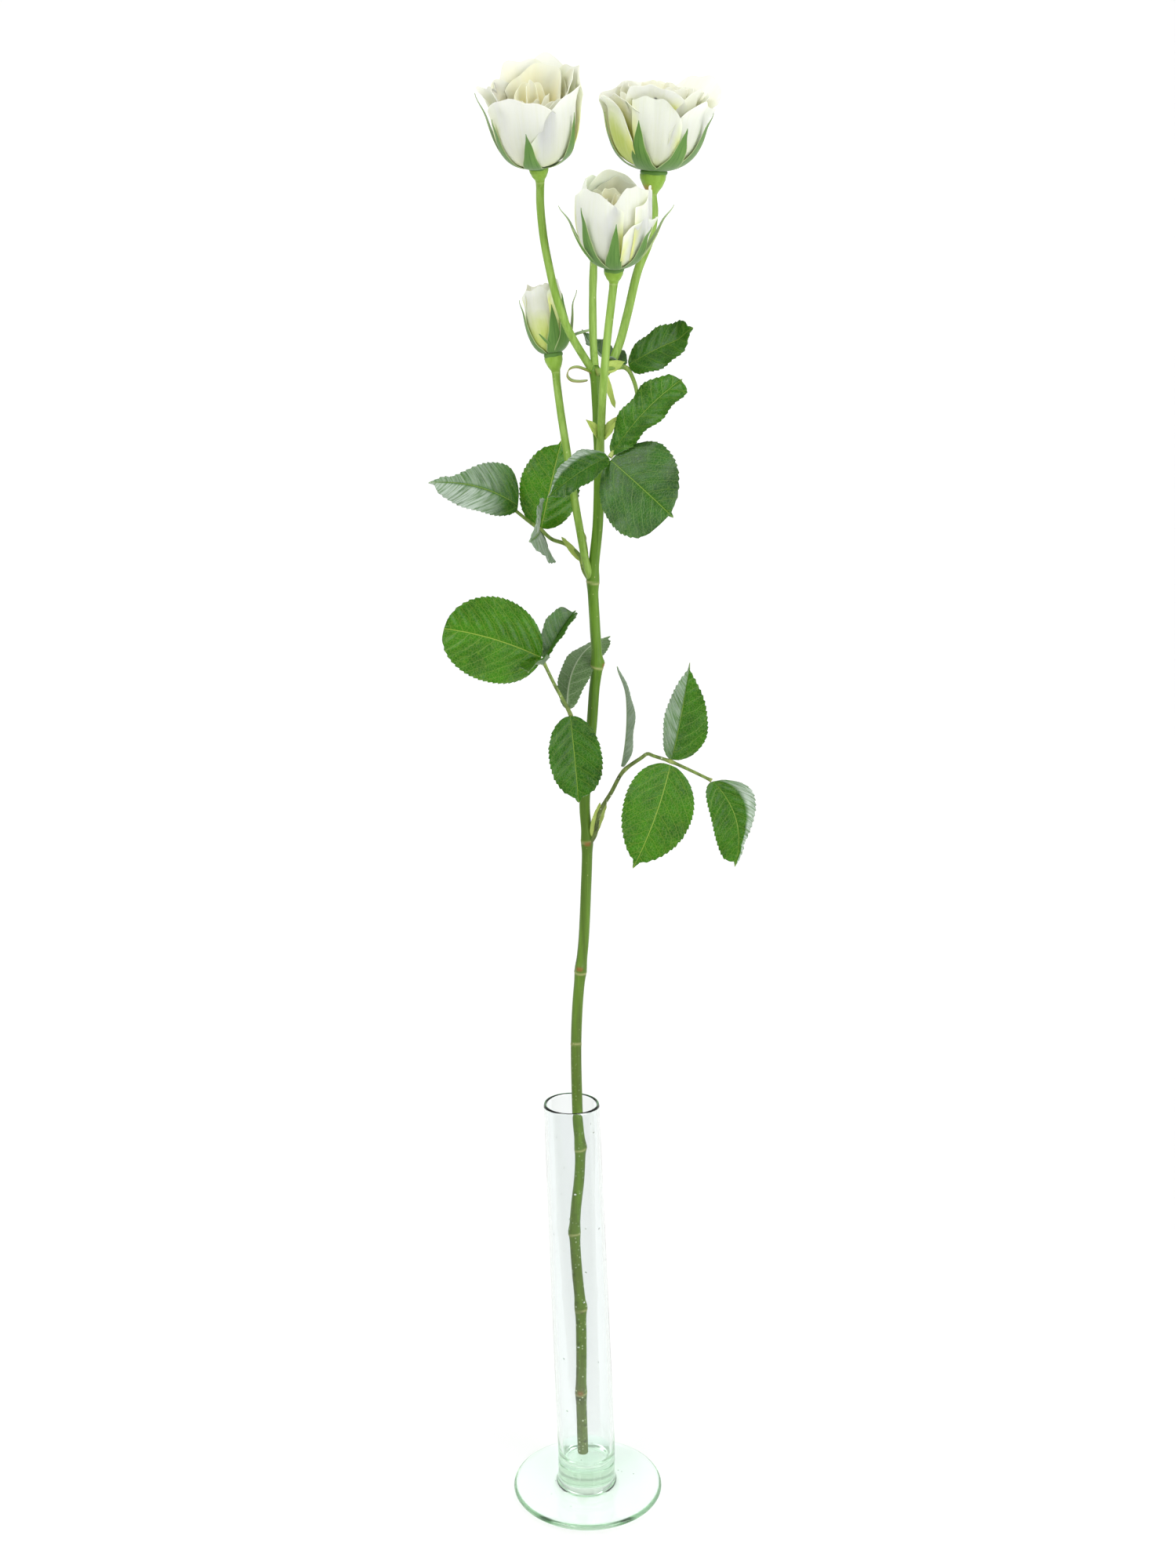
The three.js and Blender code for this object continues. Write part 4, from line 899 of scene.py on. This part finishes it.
def makeStub():
    # a slightly wavy tube; from dryFrom on it narrows a little and is browned
    line, tangent = splinePoints(stub["line"], stub["steps"])
    share = np.linspace(0, 1, len(line))
    dry = smooth(stub["dryFrom"], 1, share)
    radius = stub["radius"] * (1 - stub["shrunk"] * dry) + stub["wobble"] * np.sin(share * 21) * share
    points, quads, caps = tubeParts(line, tangent, radius, stub["around"])
    eye = np.append(np.repeat(dry, stub["around"]) * stub["dryTint"], [0, stub["dryTint"]])
    marks = {"scar": np.zeros(len(points)), "eye": eye}
    piece = makePiece("stalk_stub", points, [quads, caps], youngStalk, marks=marks)
    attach(piece, "root")
    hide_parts("stalk_cut_stub")


makeStub()


def bladeRow(base, tip, width, faces, **more):
    # one leaflet, stipule or bract: its two ends, its width, the way its upper side faces, and what sets it
    # apart
    return {"base": base, "tip": tip, "width": width, "faces": faces, **more}


# Compound leaves: the leaf stalk and its radius at both ends, its leaflets and its stipules. A blade may be
# folded along the midrib (degrees, or folds for each half), arched and bowed sideways (mm). sides gives
# each half's share of the width and where along the blade it is widest; twist turns the blade towards its
# tip, tipCurl bends the tip down, tipSlope and tipShare shape it, and roll turns the two margins under.
# wave ripples the margins and quilt is how far the blade bulges between its veins. silver is a
# painted highlight on each half, the wax catching the light, from silverEdge outwards and from
# silverFrom on, and tint makes the blade brighter, painted light as where light comes through.
leaves = {
    "leaf_upper_right": {
        "stalk": [(4.2, 2.6, 531.5), (8.5, 2.2, 532.8), (12.5, 3, 533.4), (16.8, 4.2, 533.5),
                  (19.8, 0.5, 529), (21.5, -6, 520), (17.2, -12, 507), (9.9, -16, 496.5)],
        "radii": (1.2, 0.75),
        "leaflets": [
            bladeRow((18, 3.6, 534.5), (46.8, -4, 547.5), 19.5, (-0.1, -0.85, 0.5), fold=8, arch=2,
                     sides=((0.9, 0.6), (1.05, 0.45)), tipSlope=0.9, tipCurl=-5, wave=0.8),
            bladeRow((16.6, 6.4, 534.6), (-2, 17.5, 550), 14, (0.3, -0.5, 0.9), fold=34, arch=-4,
                     silver=(0.5, 0.2), wave=1.2),
            bladeRow((10.9, -15.6, 497.6), (40, -18, 528.5), 17, (-0.3, -0.88, 0.4), fold=12, arch=2,
                     bow=-1.5, sides=((1, 0.64), (1.05, 0.68)), tint=0.2, wave=1.6, tipShare=0.03),
            bladeRow((9.3, -16, 496.5), (-16.3, -24, 480), 14.5, (0.1, -0.8, 0.6), fold=16, arch=3,
                     sides=((1, 0.55), (1.1, 0.42)), silver=(0, 0.7), silverEdge=(0, 0.6), roll=(0, -30),
                     wave=0.9, tint=0),
            bladeRow((10.2, -17.2, 495.3), (36.4, -28, 472), 38, (-0.05, -0.95, 0.2), fold=5, arch=2,
                     sides=((1, 0.44), (1.06, 0.68)), tipSlope=0.5, tint=0, wave=1, quilt=0.2,
                     silver=(0.05, 0.05)),
        ],
        "stipules": [
            bladeRow((6.5, 1.9, 532.3), (16.5, 2.4, 536), 5, (0, -1, 0)),
            bladeRow((7, 1.8, 532.6), (12.3, 0.5, 516.5), 3, (0, -1, 0)),
        ],
    },
    "leaf_upper_left": {
        "stalk": [(2.9, 5, 441), (-0.9, 7.2, 446.5), (-3, 8.5, 453), (-8.9, 9.5, 458), (-15.2, 10, 460.3),
                  (-20, 10, 464.3), (-25.1, 9, 468), (-32.2, 6.2, 474)],
        "radii": (1.2, 0.7),
        "leaflets": [
            bladeRow((-19.8, 10.9, 464.9), (-10.9, 17, 503), 27, (-0.2, -1, 0.1), fold=5, arch=1,
                     tint=0.6, sides=((1, 0.5), (1, 0.45))),
            bladeRow((-21.4, 8.3, 465.5), (-24, -27, 462), 29, (0.97, -0.2, 0.15), fold=16, arch=2,
                     silver=(0.5, 0.5), wave=1),
            bladeRow((-29.8, 6.3, 475), (-67.9, -4, 485.3), 26, (0, -0.85, 0.5), fold=8, arch=2, bow=3,
                     sides=((0.95, 0.5), (1.1, 0.24)), silver=(0.85, 0.45), silverFrom=0.2),
        ],
        "stipules": [
            bladeRow((-0.6, 7, 446), (-1.2, 8, 464), 3.4, (0, -1, 0)),
            bladeRow((-2.2, 8, 451), (-11, 8.6, 461.5), 3, (0, -1, 0.4)),
        ],
    },
    "leaf_middle_left": {
        "stalk": [(0.6, 8.2, 360), (-1.2, 3.5, 363), (-3.5, -2, 372), (-7.2, -8, 385.7),
                  (-13.6, -11, 398.4), (-18.8, -12.9, 409.6)],
        "radii": (1.15, 0.7),
        "leaflets": [
            bladeRow((-8.2, -6.8, 387.6), (11, 28, 415), 17, (0.45, 0.8, -0.6), fold=14, arch=-6, bow=4,
                     tint=0.8, sides=((1, 0.55), (1, 0.6))),
            bladeRow((-7.1, -9.2, 384.8), (-3.4, -17, 347.5), 24, (0.1, -1, 0.25), fold=7, arch=2,
                     sides=((1, 0.55), (0.95, 0.5)), tipSlope=0.7),
            bladeRow((-19.5, -12.7, 411.1), (-61.1, -17, 424.3), 36, (0.05, -1, 0.1), fold=5, arch=2,
                     bow=1.8, sides=((1.03, 0.5), (1, 0.52)), tipSlope=0, tipShare=0, quilt=0.8, tint=0.4),
            bladeRow((-18.2, -12.6, 410.4), (-4.6, -3, 430.5), 16, (-0.5, -0.8, 0.3), fold=42, arch=1,
                     sides=((1, 0.66), (1, 0.7)), silver=(0.15, 0)),
            bladeRow((-18.7, -14.3, 408.5), (-24.5, -36, 408), 12.5, (-0.35, 0.1, 1), fold=14, arch=2),
        ],
        "stipules": [
            bladeRow((-0.6, 4.6, 361), (-5, -2, 378), 3.4, (-0.8, -0.6, 0)),
        ],
    },
    "leaf_lower_right": {
        "stalk": [(0.2, 9, 322), (3.6, 7, 326.5), (5.7, 5, 337.5), (11.3, 3, 348), (16.5, 2, 357.6),
                  (24.5, 1.3, 363.9), (27.3, 1, 365.8), (30, 0.8, 364.9), (37.4, 0, 362.6),
                  (47, -2, 358.6), (55.8, -3.8, 354.6)],
        "radii": (1.15, 0.7),
        "leaflets": [
            bladeRow((16, 2, 359.6), (16, 4, 405), 14, (0.97, 0.2, 0), fold=14, arch=2.4,
                     sides=((1, 0.4), (1, 0.4)), silver=(0.4, 0.4), tipCurl=2.5),
            bladeRow((37.9, 0, 363.4), (46.1, 8, 406), 25, (0.45, -0.89, 0), folds=(34, 14), arch=1,
                     sides=((1.0, 0.34), (1.05, 0.34)), silver=(0.55, 0), tipSlope=0.14, tint=0.2,
                     twist=24),
            bladeRow((37.4, -0.6, 361.1), (20.6, -12, 316.3), 31.5, (0, -1, 0.2), fold=6, arch=2,
                     bow=-1.5, tint=0.35, sides=((1, 0.45), (1, 0.42))),
            bladeRow((56.3, -3.95, 354.3), (65.8, -14, 317.6), 22, (-0.15, -0.98, 0), folds=(8, 10),
                     roll=(62, 0), arch=1, bow=-6, sides=((1.12, 0.25), (0.98, 0.55)), silver=(0.95, 0),
                     silverEdge=(0.5, 0), tint=0.2),
        ],
        "stipules": [
            bladeRow((2.9, 7, 326), (6.2, 3.6, 343), 4.6, (0.2, -1, 0)),
            bladeRow((4.2, 7.2, 328), (9, 5, 342.5), 3, (0.6, -0.8, 0)),
        ],
    },
}
blade = {
    "columns": 29, "thickness": 0.4, "marginThinner": 0.5, "midribThicker": 0.5, "midribGroove": 0.22,
    "rowsPerTooth": 5, "toothLength": 2.2, "toothDepth": 0.7, "toothForward": 0.35, "tipPower": 0.72,
    "sharpAt": 75, "plain": {"fold": 0, "folds": None, "arch": 0, "bow": 0, "twist": 0, "tipCurl": 0,
                             "tipSlope": 0.42, "tipShare": 0.07, "wave": 0.5, "quilt": 0.4, "tint": 0.08,
                             "sides": ((1, None), (1, None)), "roll": (0, 0), "silver": (0, 0),
                             "silverEdge": (0, 0), "silverFrom": 0},
}


def bladeParts(spec, toothed=True):
    # u runs from base to tip, w from midrib to margin. Half width = width / 2 * u^0.5 (1 - u)^b over its
    # peak, each half with its own share and widest place; the section leaves the midrib at the fold angle,
    # and its margins bend under by roll; the blade bulges between the side veins, and the teeth point to
    # the tip.
    own = {**blade["plain"], **spec}
    base, tip = np.array(own["base"], float), np.array(own["tip"], float)
    length = np.linalg.norm(tip - base)
    along = (tip - base) / length
    upper = np.array(own["faces"], float)
    upper = unit(upper - along * (upper @ along))
    side = np.cross(along, upper)
    teeth = max(6, round(length / blade["toothLength"])) if toothed else 6
    u = np.linspace(0, 1, teeth * blade["rowsPerTooth"] + 1)[:, None]
    w = np.linspace(0, 1, (blade["columns"] + 1) // 2)[None, :] ** 1.25
    spacing = np.diff(w)
    middleW = (w[:, 1:] + w[:, :-1]) / 2
    twist = np.radians(own["twist"] * u)
    across = side * np.cos(twist) + upper * np.sin(twist)
    raised = upper * np.cos(twist) - side * np.sin(twist)
    hump = 4 * u * (1 - u)
    curl = own["tipCurl"] * smooth(0.6, 1, u) ** 2
    midrib = base + along * length * u + side * own["bow"] * hump + upper * (own["arch"] * hump - curl)
    tooth = (u * teeth) % 1 * smooth(0, 0.06, u) * smooth(1, 0.97, u) if toothed else 0 * u
    depth = blade["toothDepth"] * min(1, own["width"] / 20)
    full = np.minimum(1, u / (1 - own["tipShare"]))
    tipEdge = own["tipSlope"] * length * (1 - u) * smooth(0.6, 0.9, u)
    folds = own["folds"] or (own["fold"], own["fold"])
    halves = zip((-1, 1), own["sides"], own["roll"], folds, own["silver"], own["silverEdge"])
    sheets = []
    for way, (share, widest), roll, fold, shine, edgeFrom in halves:
        tipPower = 0.5 * (1 - widest) / widest if widest else blade["tipPower"]
        peakAt = 0.5 / (0.5 + tipPower)
        peak = peakAt ** 0.5 * (1 - peakAt) ** tipPower
        reach = np.maximum(own["width"] / 2 * share * full ** 0.5 * (1 - full) ** tipPower / peak, tipEdge)
        bend = np.radians(fold - roll * smooth(0.35, 1, middleW) * smooth(0, 0.35, u))
        flat = np.hstack([0 * u, np.cumsum(spacing * np.cos(bend), axis=1)]) * reach
        rise = np.hstack([0 * u, np.cumsum(spacing * np.sin(bend), axis=1)]) * reach
        edge = smooth(0.72, 1, w)
        flat = flat + depth * (tooth - 0.4) * edge * smooth(0.3, 2.5, reach)
        # side veins run where the leaf's material draws them
        lean = leafLook["veinLean"] + leafLook["veinCurve"] * flat
        veinPhase = (u * length - flat * lean + leafLook["veinSide"] * way) / leafLook["veinSpacing"]
        quilting = own["quilt"] * (np.sin(np.pi * veinPhase) ** 2 - 0.5)
        rise = rise + quilting * smooth(0.05, 0.3, w) * smooth(1, 0.85, w) * smooth(0, 3, reach)
        rise = rise - blade["midribGroove"] * np.exp(-(flat / 0.5) ** 2) * smooth(0, 1.5, reach)
        wave = own["wave"] * w ** 3 * np.sin(17 * u + 2.6 * way + length)
        rise = rise + wave * smooth(0, 5, reach)
        sheet = midrib[:, None] + across[:, None] * way * flat[..., None] + raised[:, None] * rise[..., None]
        sheet = sheet + along * (blade["toothForward"] * depth * tooth * edge)[..., None]
        # the blade's own coordinates, 100 mm to a unit, the midrib at 0.5
        uv = np.stack([(u * length + 0 * w) / 100, 0.5 + way * (w * reach) / 100], -1)
        # the painted highlight of this half: a pale silver sheen from its edge setting outwards and from its
        # start on
        shine = shine * smooth(edgeFrom, edgeFrom + 0.15, w) * smooth(-0.1, 0.25, u - own["silverFrom"])
        made = (sheet, uv, w * reach, shine)
        sheets.append(made if way > 0 else [part[:, :0:-1] for part in made])
    surface, uv, away, silver = (np.concatenate(pair, axis=1) for pair in zip(*sheets))
    margin = smooth(0.5, 1, away / (own["width"] / 2 + 0.1))
    thickness = blade["thickness"] * (1 - blade["marginThinner"] * margin)
    thickness = thickness + blade["midribThicker"] * np.exp(-(away / 0.55) ** 2) * (1 - 0.8 * u)
    return *sheetParts(surface, thickness, uv), np.tile(silver.ravel(), 2)


leafStalkShape = {"steps": 20, "around": 20, "jointSwell": 0.35, "jointReach": 1.8, "footSwell": 0.7,
                  "groove": 0.14, "stipuleFresh": 0.8}


def makeLeaf(name, spec):
    # the leaf stalk swells where leaflets join it, by jointSwell * exp(-(distance / jointReach)^2), and at
    # its foot; it has a shallow groove above
    shape, sides = leafStalkShape, leafStalkShape["around"]
    line, tangent = splinePoints(spec["stalk"], shape["steps"])
    thick, thin = spec["radii"]
    share = np.linspace(0, 1, len(line))
    joints = np.array([each["base"] for each in spec["leaflets"]])
    nearest = np.linalg.norm(line[:, None] - joints[None], axis=2).min(1)
    radius = thick + (thin - thick) * share ** 0.6
    radius = radius + shape["jointSwell"] * np.exp(-(nearest / shape["jointReach"]) ** 2)
    radius = radius + shape["footSwell"] * np.exp(-(share / 0.05) ** 2)
    turn = fullTurn(sides)
    radius = radius[:, None] * (1 - shape["groove"] * np.exp(-((turn - np.pi) / 0.6) ** 2))
    points, quads, caps = tubeParts(line, tangent, radius, sides)
    eye = np.repeat(0.35 * np.exp(-(share / 0.03) ** 2), sides)
    scar = np.repeat(0.5 * np.exp(-(nearest / 1.4) ** 2), sides)
    stipules = [bladeParts(each, toothed=False)[:2] for each in spec["stipules"]]
    allPoints, leafFaces = joinParts([(points, quads)] + stipules)
    extra = np.zeros(len(allPoints) - len(points))
    marks = {"scar": np.concatenate([scar, [0, 0], extra]), "eye": np.concatenate([eye, [0, 0], extra]),
             "fresh": np.concatenate([0 * scar, [0, 0], extra + shape["stipuleFresh"]])}
    stalk = makePiece(name + "_rachis", allPoints, [leafFaces, caps], leafStalk, marks=marks)
    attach(stalk, "root")
    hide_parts(name + "_stalk")
    for k, each in enumerate(spec["leaflets"]):
        points, faces, uv, outer, silver = bladeParts(each)
        node = name + "_leaflet_" + str(k + 1)
        # how much light is painted as coming through this leaflet
        tint = np.full(len(points), each.get("tint", blade["plain"]["tint"]))
        marks = {"outer": outer, "tint": tint, "silver": silver}
        piece = makePiece(node + "_blade", points, [faces], roseLeaf, uv, marks, blade["sharpAt"])
        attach(piece, "root")
        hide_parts(node)


for leafName, leafSpec in leaves.items():
    makeLeaf(leafName, leafSpec)
    print(leafName, "made")

# Small leafy scales at the two forks
bracts = {
    "bract_fork_left": bladeRow((5.6, 1.2, 504), (-0.2, -4, 512), 4.8, (0.3, -0.9, 0.3), fold=24, arch=1),
    "bract_fork_right": bladeRow((7, 0.6, 503.5), (15, -4, 514), 5, (-0.3, -0.9, 0.3), fold=20, arch=1),
}
curledBract = {"line": [(3.2, 4.0, 531), (0, 2.8, 532.6), (-4.2, 1.6, 533.8), (-7.2, 0.8, 532.8),
                        (-8.1, 0.4, 530.2), (-6.6, 0.4, 528.4), (-3.2, 1.2, 527.8), (0.6, 2.2, 528.2)],
               "width": 5, "thickness": 0.4, "faces": (0.1, 0.95, 0.25), "steps": 12, "columns": 9,
               "fresh": 0.45}


def finishBract(name, points, faces, dry, fresh=0.8):
    # fresh yellow-green, browned where each point is dry
    marks = {"scar": 0 * dry, "eye": 0.6 * dry, "fresh": 0 * dry + fresh}
    bract = makePiece(name + "_scale", points, [faces], leafStalk, marks=marks)
    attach(bract, "root")
    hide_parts(name)


def makeCurledBract():
    # a ribbon along a loop, spread to its faces direction: half width = width / 2 * (1 - share)^0.2
    # * (0.6 + 0.4 share)
    line, _ = splinePoints(curledBract["line"], curledBract["steps"])
    share, across = unitGrid(len(line), curledBract["columns"])
    half = curledBract["width"] / 2 * (1 - share) ** 0.2 * (0.6 + 0.4 * share) + 0.1
    sheet = line[:, None] + (half * across)[..., None] * unit(np.array(curledBract["faces"]))
    uv = np.stack([share + 0 * across, across + 0 * share], -1)
    points, faces, uv, _ = sheetParts(sheet, curledBract["thickness"], uv)
    finishBract("bract_curled", points, faces, smooth(0.6, 1, np.abs(uv[:, 1])), curledBract["fresh"])


for bractName, bractSpec in bracts.items():
    points, faces, uv, *_ = bladeParts(bractSpec, toothed=False)
    finishBract(bractName, points, faces, smooth(0.6, 1, uv[:, 0] * 100 / 14))  # about 14 mm long
makeCurledBract()
print("bracts made")

# Studio: a white sweep that glows a little, a big soft key from the front left, a softer light from the
# right, and a room that is dimmer in front and at the sides, and a little overhead
studio = {
    "floorDepth": 0.0003, "halfWidth": 1.4, "front": -3.5, "bendStart": 1.3, "bendRadius": 0.7,
    "wallTop": 3.2, "sweepColour": "#e2e2e1", "glowLow": 0.18, "glowHigh": 0.38, "glowTop": 1,
    "mirrorDim": 0.85, "mirrorFrom": -0.16, "mirrorTo": -0.05, "above": 0.7, "level": 0.78,
    "frontDim": 0.35, "sideDim": 0.35, "plainRoom": 1.05,
}
lamps = {
    "keyLight": {"place": (-0.9, -1, 1.6), "aim": (0, 0, 0.4), "size": (1, 1.2), "watts": 17},
    "fillLight": {"place": (1, -1, 0.8), "aim": (0, 0, 0.4), "size": (0.9, 1.4), "watts": 14},
    "topLight": {"place": (0, 0.2, 1.9), "aim": (0, 0, 0.3), "size": (1.2, 0.8), "watts": 0.5},
}


def makeStudio():
    # the sweep's section is floor, a quarter circle, and wall; it runs straight across
    bend = np.radians(np.linspace(0, 90, 25))
    radius = studio["bendRadius"]
    y = np.concatenate([[studio["front"]], studio["bendStart"] + radius * np.sin(bend),
                        [studio["bendStart"] + radius]])
    z = np.concatenate([[0], radius * (1 - np.cos(bend)), [studio["wallTop"]]]) - studio["floorDepth"]
    x = np.linspace(-studio["halfWidth"], studio["halfWidth"], 9)
    grid = np.stack(np.broadcast_arrays(x[None, :], y[:, None], z[:, None]), -1)
    material, add = newMaterial("studioPaper")
    place = add("TexCoord").node.outputs["Object"]
    grain = add("TexNoise", {"Vector": place, "Scale": 900})
    parts = add("SeparateXYZ", [place]).node.outputs
    # it glows more the further it is, measured as |y| + z
    away = add("Math", [parts[1]], "ABSOLUTE")
    away = add("Math", [away, parts[2]], "ADD")
    glow = add("MapRange", [away, 0, studio["glowTop"], studio["glowLow"], studio["glowHigh"]])
    # mirrored in glass or wax, the floor towards the viewer is dim, so that it puts no veil on what is behind
    near = add("MapRange", [parts[1], studio["mirrorFrom"], studio["mirrorTo"], studio["mirrorDim"], 0])
    mirrored = add("LightPath").node.outputs["Glossy Depth"]
    mirrored = add("Math", [mirrored, 1], "MINIMUM")
    dim = add("Math", [near, mirrored], "MULTIPLY")
    lit = add("Math", [1, dim], "SUBTRACT")
    glow = add("Math", [glow, lit], "MULTIPLY")
    paper = add("Mix", {0: lit, 6: "#000000", 7: studio["sweepColour"]}, "RGBA")
    bump = add("Bump", {"Strength": 0.05, "Distance": 0.0001, "Height": grain})
    shader = add("BsdfPrincipled", {
        "Base Color": paper, "Roughness": 0.9, "Normal": bump, "Specular IOR Level": 0.1,
        "Emission Color": "#ffffff", "Emission Strength": glow})
    add("OutputMaterial", [shader])
    sweep = makePiece("paperSweep", grid.reshape(-1, 3) / mm, [gridQuads(len(y), len(x))], material)


def addLamp(name, spec):
    # a rectangle of light turned so that it faces its aim
    light = bpy.data.lights.new(name, "AREA")
    light.shape = "RECTANGLE"
    light.size, light.size_y = spec["size"]
    light.energy = spec["watts"]
    lamp = bpy.data.objects.new(name, light)
    lamp.location = spec["place"]
    x, y, z = np.array(spec["aim"], float) - np.array(spec["place"], float)
    lamp.rotation_euler = (math.atan2(np.hypot(x, y), -z), 0, math.atan2(x, -y) + math.pi)
    bpy.context.collection.objects.link(lamp)


def makeRoom():
    # brightness = level + (above - level) * upwards - frontDim * towards the viewer - sideDim * |sideways|;
    # seen directly or straight through glass it is plain white
    world = bpy.data.worlds.new("softWhiteRoom")
    bpy.context.scene.world = world
    add = emptyTree(world)
    way = add("TexCoord").node.outputs["Generated"]
    parts = add("SeparateXYZ", [way]).node.outputs
    up = add("MapRange", [parts[2], 0.1, 0.8, studio["level"], studio["above"]], "SMOOTHSTEP")
    front = add("MapRange", [parts[1], -1, -0.1, -studio["frontDim"], 0], "SMOOTHSTEP")
    sideways = add("Math", [parts[0]], "ABSOLUTE")
    side = add("MapRange", [sideways, 0.5, 1, 0, -studio["sideDim"]], "SMOOTHSTEP")
    total = add("Math", [up, front], "ADD")
    total = add("Math", [total, side], "ADD")
    room = add("Background", {"Color": "#ffffff", "Strength": total})
    plain = add("Background", {"Color": "#ffffff", "Strength": studio["plainRoom"]})
    path = add("LightPath").node.outputs
    bounced = add("Math", [path["Glossy Depth"], path["Diffuse Depth"]], "ADD")
    mixed = add("MixShader", [bounced, plain, room])
    add("OutputWorld", [mixed])


makeStudio()
makeRoom()
for lampName, lampSpec in lamps.items():
    addLamp(lampName, lampSpec)

# Camera: straight in front of the stem, 518 mm up, looking 12 degrees down
view = {"place": (0.0007, -0.757, 0.518), "downward": 12.35, "focalPixels": 2209, "framePixels": (1500, 2000),
        "sensorWidth": 36, "nearest": 0.01}
lens = bpy.data.cameras.new("frontCamera")
lens.sensor_width = view["sensorWidth"]
lens.lens = view["focalPixels"] / view["framePixels"][1] * view["sensorWidth"]
lens.clip_start = view["nearest"]
camera = bpy.data.objects.new("frontCamera", lens)
camera.location = view["place"]
camera.rotation_euler = (math.radians(90 - view["downward"]), 0, 0)
bpy.context.collection.objects.link(camera)
bpy.context.scene.camera = camera
bpy.context.scene.view_settings.view_transform = "Standard"
bpy.context.scene.cycles.diffuse_bounces = 12  # white petals pass light to each other many times
bpy.context.scene.cycles.transmission_bounces = 32  # and so does the thick glass foot
bpy.context.scene.cycles.glossy_bounces = 32
bpy.context.scene.cycles.max_bounces = 48
print("studio and camera made")
